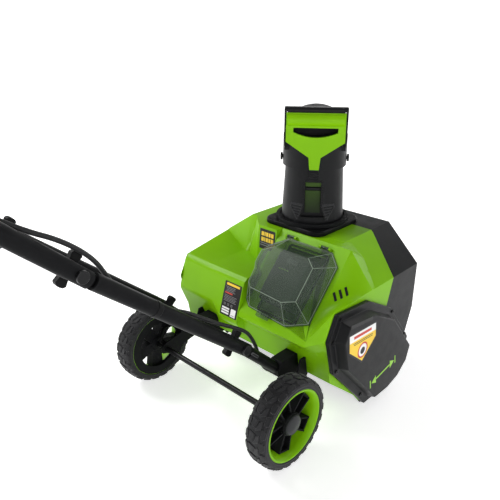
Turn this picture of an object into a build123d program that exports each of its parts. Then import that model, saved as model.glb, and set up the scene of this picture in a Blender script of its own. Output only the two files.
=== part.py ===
from build123d import *
import math
import os

# Battery snow thrower with a 40 cm clearing width.
# Origin: centre of the scraper bar's underside, on the ground.
# +X is the machine's right, +Y is forward, +Z is up. Lengths in millimetres.

os.makedirs("parts", exist_ok=True)

# ---------------------------------------------------------------- driving dimensions
WALL = 3.0                      # moulded shell thickness
FIT = 0.05                      # radial running clearance
GAP = 0.4                       # clearance between bodies that move past each other

HALF_WIDTH = 205.0              # housing, to the outside of its end walls
INTAKE_HALF = 198.0             # auger bay, to the inside of the end plates
TOP_Z = 345.0
FRONT_Y = 154.0

AUGER_Y, AUGER_Z = 30.0, 125.0  # auger shaft
AUGER_R = 105.0
SCOOP_R = 117.0                 # inside of the auger bay
SHAFT_R = 8.0

MOTOR_Y, MOTOR_Z = -122.0, 158.0
MOTOR_R = 31.0
PULLEY_X = 212.0                # inner face of both pulleys
PULLEY_WIDTH = 12.0
DRIVE_PULLEY_R = 10.0
AUGER_PULLEY_R = 30.0
BELT_THICK = 4.0

WHEEL_R = 89.0
WHEEL_X = 195.0                 # centre plane of each wheel
TYRE_WIDTH = 46.0
RIM_R = 71.0
AXLE_Y, AXLE_Z = -270.0, WHEEL_R
AXLE_R = 6.0

CHUTE_Y = 38.0                  # chute axis
CHUTE_TURN = 37.0               # degrees that the stored chute is swivelled to the left
CHUTE_BOTTOM_R, CHUTE_TOP_R = 67.0, 60.0
CHUTE_Z0, CHUTE_Z1 = 361.0, 500.0
PIVOT_Z = 490.0                 # deflector pivot
HOOD_R = 67.0

TUBE_X = 115.0                  # handle tubes
TUBE_R = 12.5
LOWER_TUBE_R = 11.0
TUBE_WALL = 1.5
TONGUE = 6.0                    # flattened tube end between the fork's cheeks
FOLD_REACH = 27.0               # round tube starts this far from a fold bolt
BOLT_R = 4.0
HANDLE_FOOT = (-200.0, 127.0)   # (Y, Z) of points on the handle's centre line
LOWER_FOLD = (-305.0, 226.5)
UPPER_FOLD = (-597.0, 471.0)
HANDLE_TOP = (-1052.0, 890.0)
BAIL_HALF = 96.0                # bail lever's eyes, each side of the middle
BAIL_FROM_TOP = 128.0
LOOP_R = 55.0                   # corner radius of the top loop

SIDES = {"left": -1, "right": 1}


def along(start, end, distance):
    """Point on the line start-end, a distance from start; both are (Y, Z)."""
    length = math.dist(start, end)
    share = distance / length
    return (start[0] + share * (end[0] - start[0]), start[1] + share * (end[1] - start[1]))


def tube_plane(x, start, end):
    """Plane at start whose normal runs from start to end, with local X along +X."""
    return Plane((x, *start), x_dir=(1, 0, 0), z_dir=(0, end[0] - start[0], end[1] - start[1]))


BAIL_PIVOT = along(HANDLE_TOP, UPPER_FOLD, BAIL_FROM_TOP)


# ---------------------------------------------------------------- housing envelope
# Each section is a polygon in a plane of constant X, as (Y, Z) points: over the top from the
# front, down the rear, then forward under the auger bay.
LOWER_OUTLINE = [(-158, 140), (-153, 113), (-61, 35), (-34, 2), (26, 2), (74, 15), (115, 48)]
LOWER_OUTLINE += [(132, 99), (FRONT_Y, 162)]
CREASE_R = 20.0                 # rounding of the two creases down the rear


def softened(before, corner, after, radius):
    """Four points along the arc that rounds a corner of a section."""
    u = Vector(*before) - Vector(*corner)
    v = Vector(*after) - Vector(*corner)
    half_angle = math.radians(u.get_angle(v)) / 2
    reach = min(radius / math.tan(half_angle), 0.45 * u.length, 0.45 * v.length)
    bisector = (u.normalized() + v.normalized()).normalized()
    centre = Vector(*corner) + bisector * (reach / math.cos(half_angle))
    start = Vector(*corner) + u.normalized() * reach - centre
    end = Vector(*corner) + v.normalized() * reach - centre
    points = []
    for share in (0, 1 / 3, 2 / 3, 1):
        spoke = (start * (1 - share) + end * share).normalized() * start.length
        points.append((centre.X + spoke.X, centre.Y + spoke.Y))
    return points


def section(top_z, wall, foot, shoulder, tail):
    """Body section: its upper block's rear wall runs from (wall, top_z) down to foot."""
    ledge = softened(foot, shoulder, tail, CREASE_R)
    crease = softened(shoulder, tail, LOWER_OUTLINE[0], CREASE_R)
    return [(FRONT_Y, top_z), (wall, top_z), foot] + ledge + crease + LOWER_OUTLINE


SHOULDER, TAIL = (-157, 264), (-179, 190)
PLINTH_TAIL = (-186, 166)               # the tail is lower under the label's flat
SUNK_SHOULDER, SUNK_TAIL = (-146, 200), (-168, 180)     # where the battery block covers the rear
BODY_SECTIONS = [
    (-205, section(290, -18, (-22, 288), SHOULDER, TAIL)),
    (-126, section(TOP_Z, -18, (-46, 264), SHOULDER, TAIL)),
    (-110, section(TOP_Z, -20, (-46, 264), SHOULDER, TAIL)),
    (-96, section(TOP_Z, -36, (-52, 263), SHOULDER, TAIL)),
    (-70, section(TOP_Z, -59, (-65, 262), SHOULDER, PLINTH_TAIL)),
    (-18, section(TOP_Z, -59, (-65, 262), SHOULDER, PLINTH_TAIL)),
    (-14, section(TOP_Z, -18, (-22, 262), SUNK_SHOULDER, SUNK_TAIL)),
    (126, section(TOP_Z, -18, (-22, 262), SUNK_SHOULDER, SUNK_TAIL)),
    (205, section(268, -18, (-22, 262), (-140, 238), (-166, 196))),
]
# Battery block: deck, slope at 47.5 degrees and a twisted flank down to the right end wall.
BLOCK_REAR = [(-146, 150), (-180, 187), (-176, 198)]
BLOCK_SECTIONS = [
    (-16, [(-42, 345), (22, 345), (22, 150)] + BLOCK_REAR),
    (127, [(-42, 345), (22, 343), (22, 150)] + BLOCK_REAR),
    (160, [(-42, 345), (25, 300), (25, 150)] + BLOCK_REAR),
    (205, [(-26, 269), (-10, 267.6), (-10, 150), (-146, 150), (-178, 216), (-153, 267)]),
]


def lofted(sections, inset=0.0):
    """Ruled solid through the sections, shrunk by inset all round."""
    with BuildPart() as body:
        for number, (x, points) in enumerate(sections):
            at_end = {0: inset, len(sections) - 1: -inset}.get(number, 0.0)
            with BuildSketch(Plane.YZ.offset(x + at_end)):
                with BuildLine():
                    Polyline(*points, close=True)
                make_face()
                if inset:
                    offset(amount=-inset, kind=Kind.INTERSECTION)
        loft(ruled=True)
    return body.part


body_solid = lofted(BODY_SECTIONS)
block_solid = lofted(BLOCK_SECTIONS)


PIECES = {}


def keep(name, solid):
    """Remember a finished piece; the loop at the end labels and writes them all."""
    PIECES[name] = solid


# ---------------------------------------------------------------- housing
with BuildPart() as skin:
    add(body_solid)
    add(block_solid)
    add(lofted(BODY_SECTIONS, WALL), mode=Mode.SUBTRACT)
    add(lofted(BLOCK_SECTIONS, WALL), mode=Mode.SUBTRACT)
    # mouth of the auger bay: open at the front and underneath, between the end walls
    with BuildSketch(Plane.XZ.offset(-FRONT_Y - 5)):
        with BuildLine():
            Polyline(
                (-202, -5), (-202, 286), (-124, TOP_Z - 4), (124, TOP_Z - 4), (202, 266), (202, -5),
                close=True,
            )
        make_face()
    extrude(amount=45, mode=Mode.SUBTRACT)
    with Locations((0, 75, 120)):
        Box(404, 300, 250, mode=Mode.SUBTRACT)
    # hole under the chute
    with Locations((0, CHUTE_Y, 260)):
        Cylinder(60, 200, mode=Mode.SUBTRACT)
    # shaft holes in the right end wall
    with Locations(Plane.YZ.offset(HALF_WIDTH - 8)):
        with Locations((AUGER_Y, AUGER_Z), (MOTOR_Y, MOTOR_Z)):
            Cylinder(SHAFT_R + 3, 20, mode=Mode.SUBTRACT)

# Battery door plane: local Y runs up the slope, local Z points out of the housing.
DOOR_TOP, DOOR_BOTTOM = (-52.0, 334.0), (-172.0, 202.4)
DOOR_X = 62.0
DOOR_MIDDLE = along(DOOR_TOP, DOOR_BOTTOM, math.dist(DOOR_TOP, DOOR_BOTTOM) / 2)
door_plane = Plane(
    (DOOR_X, *DOOR_MIDDLE),
    x_dir=(1, 0, 0),
    z_dir=(0, DOOR_BOTTOM[1] - DOOR_TOP[1], DOOR_TOP[0] - DOOR_BOTTOM[0]),
)
DOOR_RISE = 44.0
# corners of the door's flange and of its raised top, in the door plane
DOOR_RIM = [(-48, 87), (64, 87), (90, 62), (90, -64), (42, -87)]
DOOR_RIM += [(-60, -80), (-76, -66), (-76, -8), (-90, 6), (-90, 58)]
DOOR_FACE = [(-38, 50), (46, 50), (66, 34), (66, -38), (36, -50)]
DOOR_FACE += [(-48, -46), (-58, -36), (-60, -6), (-66, 6), (-66, 34)]
HINGE_UP, HINGE_OUT = 91.0, 3.9         # hinge line, up the slope and out from the door plane
KNUCKLE_X, KNUCKLE_WIDTH, KNUCKLE_R = 44.0, 18.0, 3.4
BAY_WIDTH, BAY_LENGTH, BAY_DEPTH = 100.0, 142.0, 32.0
PACK_SHIFT = 10.0               # the pack sits to the right of the door's middle

PIN_R = 1.5
hinge_line = door_plane.from_local_coords((0, HINGE_UP, HINGE_OUT))
HINGE_YZ = (hinge_line.Y, hinge_line.Z)

with BuildPart() as bay_block:
    with BuildSketch(door_plane.offset(-BAY_DEPTH)):
        with Locations((PACK_SHIFT, 0)):
            Rectangle(BAY_WIDTH, BAY_LENGTH)
    extrude(amount=BAY_DEPTH + 12)

# The green rear shell ends at a slanted seam; everything ahead of it is the black shroud.
with BuildPart() as ahead_of_seam:
    with BuildSketch(Plane.XY.offset(266)):
        with BuildLine():
            Polyline(
                (-240, 42), (-205, 54), (-131, 82), (131, 82), (205, 54), (240, 42),
                (240, 200), (-240, 200), close=True,
            )
        make_face()
    extrude(amount=100)
    with BuildSketch(Plane.YZ.offset(-240)):
        with BuildLine():
            Polyline(
                (54, 266), (38, 211), (-40, 60), (-40, -10), (200, -10), (200, 266), close=True
            )
        make_face()
    extrude(amount=480)

with BuildPart() as front_shroud:
    add(skin.part)
    add(ahead_of_seam.part, mode=Mode.INTERSECT)
keep("front_shroud", front_shroud)

with BuildPart() as rear_shell:
    add(skin.part)
    add(ahead_of_seam.part, mode=Mode.SUBTRACT)
    add(bay_block.part, mode=Mode.SUBTRACT)
    # two pairs of lugs that hold the door's hinge pins
    for x in (-KNUCKLE_X, KNUCKLE_X):
        for side in SIDES.values():
            start = DOOR_X + x + side * (KNUCKLE_WIDTH / 2 + GAP)
            with BuildSketch(Plane.YZ.offset(start)):
                with Locations(HINGE_YZ):
                    Circle(KNUCKLE_R)
            extrude(amount=side * 5)
            with BuildSketch(door_plane.offset(-1)):
                with Locations((start - DOOR_X + side * 2.5, HINGE_UP)):
                    Rectangle(5, 2 * KNUCKLE_R)
            extrude(amount=HINGE_OUT + 1)
    with BuildSketch(Plane.YZ.offset(DOOR_X - 70)):
        with Locations(HINGE_YZ):
            Circle(PIN_R)
    extrude(amount=140, mode=Mode.SUBTRACT)
keep("rear_shell", rear_shell)

# End covers: the left one is a shallow faceted dome, the right one covers the belt.
COVER_OUTLINE = [(-153, 266), (-49, 256), (38, 208), (130, 99), (114, 48), (73, 16), (26, 4)]
COVER_OUTLINE += [(-34, 4), (-61, 36), (-157, 140), (-177, 216)]


def cover_slab(x, inset):
    """Sketch of the end cover's outline at a plane of constant X, shrunk by inset."""
    with BuildSketch(Plane.YZ.offset(x)) as slab:
        with BuildLine():
            Polyline(*COVER_OUTLINE, close=True)
        make_face()
        if inset:
            offset(amount=-inset, kind=Kind.INTERSECTION)
    return slab.sketch


LEFT_DEPTH = 20.0
with BuildPart() as left_cover:
    add(cover_slab(-HALF_WIDTH, 0))
    add(cover_slab(-HALF_WIDTH - LEFT_DEPTH, 20))
    loft(ruled=True)
    add(cover_slab(-HALF_WIDTH, WALL))
    add(cover_slab(-HALF_WIDTH - LEFT_DEPTH + WALL, 22))
    loft(ruled=True, mode=Mode.SUBTRACT)
keep("left_cover", left_cover)

BORDER_DEPTH, COVER_DEPTH = 10.0, 30.0
with BuildPart() as belt_cover:
    add(cover_slab(HALF_WIDTH, 0))
    extrude(amount=BORDER_DEPTH, dir=(1, 0, 0))
    add(cover_slab(HALF_WIDTH + BORDER_DEPTH, 15))
    add(cover_slab(HALF_WIDTH + COVER_DEPTH, 21))
    loft(ruled=True)
    add(cover_slab(HALF_WIDTH, 18.5))
    add(cover_slab(HALF_WIDTH + COVER_DEPTH - WALL, 24))
    loft(ruled=True, mode=Mode.SUBTRACT)
keep("belt_cover", belt_cover)

# Auger bay: a curved steel sheet from the front rim, over and behind the auger, to the scraper.
with BuildPart() as auger_housing:
    with BuildSketch(Plane.YZ.offset(-INTAKE_HALF)):
        with BuildLine():
            bay_arc = CenterArc((AUGER_Y, AUGER_Z), SCOOP_R, 70, 194)
            Line(bay_arc @ 0, (FRONT_Y - 4, 326))
            Line(bay_arc @ 1, (26, 8))
        trace(line_width=2.5)
    extrude(amount=2 * INTAKE_HALF)
    with Locations((0, CHUTE_Y, 280)):
        Cylinder(60, 120, mode=Mode.SUBTRACT)
    add(lofted(BODY_SECTIONS, WALL + 0.5), mode=Mode.INTERSECT)
keep("auger_housing", auger_housing)

with BuildPart() as side_plates:
    for side in SIDES.values():
        with BuildSketch(Plane.YZ.offset(side * (INTAKE_HALF + 1))):
            with BuildLine():
                Polyline(
                    (-150, 190), (-146, 147), (-56, 45), (-30, 9), (26, 9), (70, 22), (108, 54),
                    (124, 101), (145, 163), (145, 256), (-18, 250), (-132, 250), close=True,
                )
            make_face()
            with Locations((AUGER_Y, AUGER_Z), (MOTOR_Y, MOTOR_Z)):
                Circle(SHAFT_R + 1, mode=Mode.SUBTRACT)
        extrude(amount=1, both=True)
    add(skin.part, mode=Mode.SUBTRACT)
keep("side_plates", side_plates)

SCRAPER_LENGTH, SCRAPER_DEPTH, SCRAPER_THICK = 392.0, 36.0, 6.0
with BuildPart() as scraper_bar:
    with Locations((0, 0, SCRAPER_THICK / 2)):
        Box(SCRAPER_LENGTH, SCRAPER_DEPTH, SCRAPER_THICK)
    chamfer(scraper_bar.edges().filter_by(Axis.X).sort_by(Axis.Y)[-2:], 2)
keep("scraper_bar", scraper_bar)

# ---------------------------------------------------------------- chute seat
PAD_HALF = 78.0
PAD_Z = TOP_Z + 11
with BuildPart() as chute_base:
    with BuildSketch(Plane.XY.offset(TOP_Z)):
        with Locations((0, CHUTE_Y)):
            RectangleRounded(2 * PAD_HALF, 2 * PAD_HALF, 26)
    extrude(amount=PAD_Z - TOP_Z)
    chamfer(chute_base.faces().sort_by(Axis.Z)[-1].edges(), 2.5)
    with Locations((0, CHUTE_Y, 242)):
        Cylinder(59.5, 128, align=(Align.CENTER, Align.CENTER, Align.MIN))
    with Locations((0, CHUTE_Y, 200)):
        Cylinder(56.5, 200, align=(Align.CENTER, Align.CENTER, Align.MIN), mode=Mode.SUBTRACT)
keep("chute_base", chute_base)

FLANGE_R, FLANGE_THICK = 74.0, 4.0
with BuildPart() as chute_retainer:
    with BuildSketch(Plane.XZ) as ring_profile:
        with BuildLine():
            Polyline(
                (FLANGE_R + GAP, PAD_Z), (FLANGE_R + 4.5, PAD_Z),
                (FLANGE_R + 4.5, PAD_Z + FLANGE_THICK + 4),
                (FLANGE_R - 4, PAD_Z + FLANGE_THICK + 4),
                (FLANGE_R - 4, PAD_Z + FLANGE_THICK + 2 * GAP),
                (FLANGE_R + GAP, PAD_Z + FLANGE_THICK + 2 * GAP), close=True,
            )
        make_face()
    revolve(axis=Axis.Z)
chute_retainer.part = chute_retainer.part.moved(Location((0, CHUTE_Y, 0)))
keep("chute_retainer", chute_retainer)

# ---------------------------------------------------------------- chute, in its own swivelled frame
turn = math.radians(CHUTE_TURN)
chute_frame = Plane(
    (0, CHUTE_Y, 0), x_dir=(math.cos(turn), math.sin(turn), 0), z_dir=(0, 0, 1)
)
# side view (local Y forward, local Z up) and rear view of the chute's own frame
chute_side = Plane((0, CHUTE_Y, 0), x_dir=(-math.sin(turn), math.cos(turn), 0),
                   z_dir=(math.cos(turn), math.sin(turn), 0))
chute_rear = Plane((0, CHUTE_Y, 0), x_dir=(math.cos(turn), math.sin(turn), 0),
                   z_dir=(math.sin(turn), -math.cos(turn), 0))

with BuildPart() as chute_tube:
    with BuildSketch(chute_rear):
        with BuildLine():
            Polyline(
                (FLANGE_R - 10, PAD_Z + GAP), (FLANGE_R, PAD_Z + GAP),
                (FLANGE_R, PAD_Z + GAP + FLANGE_THICK),
                (CHUTE_BOTTOM_R, PAD_Z + GAP + FLANGE_THICK), (CHUTE_TOP_R, CHUTE_Z1),
                (CHUTE_TOP_R - WALL, CHUTE_Z1), (CHUTE_BOTTOM_R - WALL, PAD_Z + 6),
                close=True,
            )
        make_face()
    revolve(axis=Axis((0, CHUTE_Y, 0), (0, 0, 1)))
    # the discharge side is cut away above the deflector's skirt
    with BuildSketch(chute_side):
        with BuildLine():
            Polyline((14, 474), (90, 474), (90, 520), (14, 520), close=True)
        make_face()
    extrude(amount=80, both=True, mode=Mode.SUBTRACT)
    # rear service slot, wider at the bottom
    with BuildSketch(chute_rear):
        with BuildLine():
            Polyline((-17, 451), (17, 451), (17, 400), (26, 376), (-26, 376), (-17, 400), close=True)
        make_face()
    extrude(amount=80, mode=Mode.SUBTRACT)
    # recessed panel behind the slot and the ribbed ratchet above it
    with BuildSketch(chute_rear.offset(51)):
        with Locations((0, 414)):
            Rectangle(60, 84)
    extrude(amount=4)
    with BuildSketch(chute_rear.offset(58)):
        with Locations((0, 463)):
            Rectangle(20, 24)
    extrude(amount=4.5)
    with BuildSketch(chute_rear.offset(62.4)):
        with GridLocations(1, 5.2, 1, 4):
            with Locations((0, 463)):
                Rectangle(20, 2.6)
    extrude(amount=2.2)
    with Locations(chute_side):
        with Locations((0, PIVOT_Z)):
            Cylinder(BOLT_R + FIT, 160, mode=Mode.SUBTRACT)
keep("chute_tube", chute_tube)

HOOD_Z0, HOOD_SHOULDER, HOOD_TOP = 476.5, 544.0, 598.0
HOOD_HALF = 62.0
ARCH_Z, ARCH_EXTRA = 516.0, 13.0         # roof arch: height of its centre, radius beyond the skirt


def hood_block(r, half, lift, rear):
    """Solid outline of the deflector: round skirt, boxed top with a domed roof."""
    with BuildPart() as block:
        with BuildSketch(chute_frame.offset(HOOD_Z0 - lift)):
            Circle(r)
            with Locations((0, 18)):
                Rectangle(2 * r, 36)
        extrude(amount=HOOD_SHOULDER - HOOD_R + r - HOOD_Z0 + lift)
        fillet(block.faces().sort_by(Axis.Z)[-1].edges(), 6)
        with BuildPart(mode=Mode.PRIVATE) as boxed:
            with BuildSketch(chute_side.offset(-half)):
                with BuildLine():
                    Polyline(
                        (36, HOOD_Z0 + 36), (rear, HOOD_Z0 + 36), (rear, HOOD_TOP), (36, HOOD_TOP),
                        close=True,
                    )
                make_face()
            extrude(amount=2 * half)
            with BuildSketch(chute_rear.offset(-100)):
                with Locations((0, ARCH_Z)):
                    Circle(r + ARCH_EXTRA)
            extrude(amount=200, mode=Mode.INTERSECT)
        add(boxed.part)
    return block.part


with BuildPart() as deflector_hood:
    add(hood_block(HOOD_R, HOOD_HALF, 0, -40))
    add(hood_block(HOOD_R - WALL, HOOD_HALF - WALL, 5, -37), mode=Mode.SUBTRACT)
    # open discharge side
    with BuildSketch(chute_side):
        with BuildLine():
            Polyline(
                (33, HOOD_Z0 - 1), (90, HOOD_Z0 - 1), (90, HOOD_TOP + 10), (33, HOOD_TOP + 10),
                close=True,
            )
        make_face()
    extrude(amount=HOOD_HALF - WALL, both=True, mode=Mode.SUBTRACT)
    # side strips that carry the grip, and the crossbar over it
    for side in SIDES.values():
        with BuildSketch(chute_side.offset(side * (HOOD_HALF - WALL / 2))):
            with BuildLine():
                Polyline(
                    (-38, HOOD_Z0 + 40), (-64, HOOD_SHOULDER - 8), (-72, HOOD_SHOULDER + 6),
                    (-72, HOOD_TOP - 1), (-38, HOOD_TOP - 1), close=True,
                )
            make_face()
        extrude(amount=WALL / 2, both=True)
    with BuildSketch(chute_side.offset(-HOOD_HALF)):
        with BuildLine():
            Polyline(
                (-73, HOOD_TOP - 3), (-73, HOOD_TOP + 1), (-66, HOOD_TOP + 5), (-42, HOOD_TOP + 3),
                (-37, HOOD_TOP - 6), close=True,
            )
        make_face()
    extrude(amount=2 * HOOD_HALF)
    with Locations(chute_side):
        with Locations((0, PIVOT_Z)):
            Cylinder(BOLT_R, 160, mode=Mode.SUBTRACT)
keep("deflector_hood", deflector_hood)

with BuildPart() as deflector_grip:
    with BuildSketch(chute_rear.offset(66.5)):
        with BuildLine():
            Polyline(
                (-58, 593), (58, 593), (58.4, 536), (12, 505), (9.5, 480), (-9.5, 480),
                (-12, 505), (-58.4, 536), close=True,
            )
        make_face()
        with BuildLine():
            slot_top = Polyline((-44, 555), (-44, 564), (44, 564), (44, 555))
            ThreePointArc(slot_top @ 1, (0, 545), slot_top @ 0)
        make_face(mode=Mode.SUBTRACT)
    extrude(amount=7)
    with BuildSketch(chute_side.offset(-56)):
        with BuildLine():
            bar_back = Line((-66.5, 593), (-66.5, 566))
            ThreePointArc(bar_back @ 1, (-81, 580), bar_back @ 0)
        make_face()
    extrude(amount=112)
    with BuildSketch(chute_rear.offset(64.2)):
        with Locations((0, 505)):
            Rectangle(16, 44)
    extrude(amount=4)
    add(hood_block(HOOD_R, HOOD_HALF, 0, -40), mode=Mode.SUBTRACT)
keep("deflector_grip", deflector_grip)

with BuildPart() as deflector_bolts:
    for side in SIDES.values():
        with BuildSketch(chute_side.offset(side * 52)):
            with Locations((0, PIVOT_Z)):
                Circle(BOLT_R)
        extrude(amount=side * 16)
        with BuildSketch(chute_side.offset(side * 68)):
            with Locations((0, PIVOT_Z)):
                Circle(8)
        extrude(amount=side * 4)
keep("deflector_bolts", deflector_bolts)

# ---------------------------------------------------------------- battery door, bay and pack
def door_sketch(level, outline, inset=0.0):
    """Outline shrunk by inset, level above the door plane."""
    with BuildSketch(door_plane.offset(level)) as drawn:
        with BuildLine():
            Polyline(*outline, close=True)
        make_face()
        if inset:
            offset(amount=-inset, kind=Kind.INTERSECTION)
    return drawn.sketch


FLANGE = 3.0                    # door flange thickness
with BuildPart() as battery_door:
    add(door_sketch(GAP, DOOR_RIM))
    extrude(amount=FLANGE, dir=door_plane.z_dir)
    add(door_sketch(GAP + FLANGE, DOOR_RIM, 4))
    add(door_sketch(DOOR_RISE, DOOR_FACE))
    loft(ruled=True)
    add(door_sketch(GAP, DOOR_RIM, 6.5))
    add(door_sketch(DOOR_RISE - 2.5, DOOR_FACE, 2.2))
    loft(ruled=True, mode=Mode.SUBTRACT)
    # hinge knuckles along the upper edge
    for x in (-KNUCKLE_X, KNUCKLE_X):
        with BuildSketch(Plane.YZ.offset(DOOR_X + x - KNUCKLE_WIDTH / 2)):
            with Locations(HINGE_YZ):
                Circle(KNUCKLE_R)
        extrude(amount=KNUCKLE_WIDTH)
        with BuildSketch(door_plane.offset(GAP + 0.2)):
            with Locations((x, (HINGE_UP + 84) / 2)):
                Rectangle(KNUCKLE_WIDTH, HINGE_UP - 84)
        extrude(amount=FLANGE)
    with BuildSketch(Plane.YZ.offset(DOOR_X - 70)):
        with Locations(HINGE_YZ):
            Circle(PIN_R + FIT)
    extrude(amount=140, mode=Mode.SUBTRACT)
keep("battery_door", battery_door)

with BuildPart() as door_hinge_pin:
    for x in (-KNUCKLE_X, KNUCKLE_X):
        with BuildSketch(Plane.YZ.offset(DOOR_X + x - KNUCKLE_WIDTH / 2 - 5)):
            with Locations(HINGE_YZ):
                Circle(PIN_R)
        extrude(amount=KNUCKLE_WIDTH + 10)
keep("door_hinge_pin", door_hinge_pin)

with BuildPart() as door_latch:
    with BuildSketch(door_plane.offset(GAP + 3.4)):
        with Locations((-14, -85)):
            RectangleRounded(30, 12, 3)
    extrude(amount=7)
    add(battery_door.part, mode=Mode.SUBTRACT)
keep("door_latch", door_latch)

with BuildPart() as battery_tray:
    add(bay_block.part)
    with BuildSketch(door_plane.offset(-BAY_DEPTH + WALL)):
        with Locations((PACK_SHIFT, 0)):
            Rectangle(BAY_WIDTH - 2 * WALL, BAY_LENGTH - 2 * WALL)
    extrude(amount=BAY_DEPTH + 12, mode=Mode.SUBTRACT)
    with BuildSketch(door_plane):
        Rectangle(400, 400)
    extrude(amount=60, mode=Mode.SUBTRACT)
keep("battery_tray", battery_tray)

PACK_RISE = 34.0
with BuildPart() as battery_pack:
    with BuildSketch(door_plane.offset(-BAY_DEPTH + WALL + GAP)):
        with Locations((PACK_SHIFT, 0)):
            Rectangle(BAY_WIDTH - 2 * WALL - 6, BAY_LENGTH - 2 * WALL - 24)
    extrude(amount=PACK_RISE + BAY_DEPTH - WALL - GAP)
    chamfer(battery_pack.edges().sort_by(Axis(door_plane.origin, door_plane.z_dir))[-4:], 12)
keep("battery_pack", battery_pack)

# ---------------------------------------------------------------- drive
with BuildPart() as motor:
    with BuildSketch(Plane.YZ.offset(INTAKE_HALF - 88)):
        with Locations((MOTOR_Y, MOTOR_Z)):
            Circle(MOTOR_R)
            Circle(4 + FIT, mode=Mode.SUBTRACT)
    extrude(amount=88)
    chamfer(motor.edges().filter_by(GeomType.CIRCLE).sort_by(Axis.X)[0:1], 3)
keep("motor", motor)

with BuildPart() as motor_shaft:
    with BuildSketch(Plane.YZ.offset(INTAKE_HALF - 92)):
        with Locations((MOTOR_Y, MOTOR_Z)):
            Circle(4)
    extrude(amount=PULLEY_X + PULLEY_WIDTH + 2 - (INTAKE_HALF - 92))
keep("motor_shaft", motor_shaft)

with BuildPart() as auger_shaft:
    with BuildSketch(Plane.YZ.offset(-INTAKE_HALF - 1)):
        with Locations((AUGER_Y, AUGER_Z)):
            Circle(SHAFT_R)
    extrude(amount=INTAKE_HALF + 1 + PULLEY_X + PULLEY_WIDTH + 2)
keep("auger_shaft", auger_shaft)


def pulley(y, z, radius, bore):
    """Flat belt pulley with two flanges, on a shaft along X."""
    with BuildPart() as wheel:
        for x, r, width in (
            (PULLEY_X, radius + 2.5, 1.5),
            (PULLEY_X, radius, PULLEY_WIDTH),
            (PULLEY_X + PULLEY_WIDTH - 1.5, radius + 2.5, 1.5),
        ):
            with BuildSketch(Plane.YZ.offset(x)):
                with Locations((y, z)):
                    Circle(r)
                    Circle(bore, mode=Mode.SUBTRACT)
            extrude(amount=width)
    return wheel


keep("drive_pulley", pulley(MOTOR_Y, MOTOR_Z, DRIVE_PULLEY_R, 4))
keep("auger_pulley", pulley(AUGER_Y, AUGER_Z, AUGER_PULLEY_R, SHAFT_R))


def belt_outline(extra):
    """Sketch of the stadium that joins the two pulleys, extra larger than them."""
    with BuildSketch(Plane.YZ.offset(PULLEY_X + 2)) as outline:
        with Locations((MOTOR_Y, MOTOR_Z)):
            Circle(DRIVE_PULLEY_R + extra)
        with Locations((AUGER_Y, AUGER_Z)):
            Circle(AUGER_PULLEY_R + extra)
        make_hull()
    return outline.sketch


with BuildPart() as drive_belt:
    add(belt_outline(GAP + BELT_THICK))
    extrude(amount=PULLEY_WIDTH - 4, dir=(1, 0, 0))
    add(belt_outline(GAP))
    extrude(amount=PULLEY_WIDTH - 4, dir=(1, 0, 0), mode=Mode.SUBTRACT)
keep("drive_belt", drive_belt)

with BuildPart() as auger_bearings:
    for side in SIDES.values():
        with BuildSketch(Plane.YZ.offset(side * (INTAKE_HALF - 4))):
            with Locations((AUGER_Y, AUGER_Z)):
                Circle(15)
                Circle(SHAFT_R + FIT, mode=Mode.SUBTRACT)
        extrude(amount=4, both=True)
keep("auger_bearings", auger_bearings)

# Rubber paddles: a straight pair in the middle and a twisted pair on each side.
PADDLE_THICK = 8.0
SIDE_PADDLE_X = (58.0, 186.0)
with BuildPart() as centre_paddle:
    with BuildSketch(Plane.YZ.offset(-55)):
        with Locations((AUGER_Y, AUGER_Z)):
            Rectangle(2 * AUGER_R, PADDLE_THICK)
            Circle(SHAFT_R + 5)
            Circle(SHAFT_R, mode=Mode.SUBTRACT)
    extrude(amount=110)
keep("centre_paddle", centre_paddle)

with BuildPart() as side_paddles:
    for side in SIDES.values():
        with BuildSketch(Plane.YZ.offset(side * SIDE_PADDLE_X[0])):
            with Locations((AUGER_Y, AUGER_Z)):
                Rectangle(2 * AUGER_R, PADDLE_THICK)
        with BuildSketch(Plane.YZ.offset(side * SIDE_PADDLE_X[1])):
            with Locations((AUGER_Y, AUGER_Z)):
                Rectangle(2 * AUGER_R, PADDLE_THICK, rotation=side * 60)
        loft()
        with BuildSketch(Plane.YZ.offset(side * SIDE_PADDLE_X[0])):
            with Locations((AUGER_Y, AUGER_Z)):
                Circle(SHAFT_R + 5)
        extrude(amount=side * (SIDE_PADDLE_X[1] - SIDE_PADDLE_X[0]))
    with BuildSketch(Plane.YZ.offset(-INTAKE_HALF)):
        with Locations((AUGER_Y, AUGER_Z)):
            Circle(SHAFT_R)
    extrude(amount=2 * INTAKE_HALF, mode=Mode.SUBTRACT)
keep("side_paddles", side_paddles)

with BuildPart() as controller:
    with BuildSketch(Plane.XY.offset(276)):
        with Locations((-118, 26)):
            Rectangle(70, 60)
    extrude(amount=24)
    fillet(controller.edges().filter_by(Axis.Z), 4)
keep("controller", controller)

# ---------------------------------------------------------------- wheels and axle
AXLE_END = WHEEL_X + TYRE_WIDTH / 2 - 2
with BuildPart() as axle:
    with BuildSketch(Plane.YZ.offset(-AXLE_END)):
        with Locations((AXLE_Y, AXLE_Z)):
            Circle(AXLE_R)
    extrude(amount=2 * AXLE_END)
keep("axle", axle)

BRACKET_X = 148.0
with BuildPart() as axle_brackets:
    for side in SIDES.values():
        with BuildSketch(Plane.YZ.offset(side * BRACKET_X)):
            with BuildLine():
                Polyline(
                    (-157.5, 152), (-150, 112), (-158, 96), (-262, 76), (-284, 84), (-286, 98),
                    (-270, 106), (-184, 124), (-174, 152), close=True,
                )
            make_face()
            with Locations((AXLE_Y, AXLE_Z)):
                Circle(AXLE_R, mode=Mode.SUBTRACT)
        extrude(amount=2, both=True)
    add(body_solid, mode=Mode.SUBTRACT)
keep("axle_brackets", axle_brackets)

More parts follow.
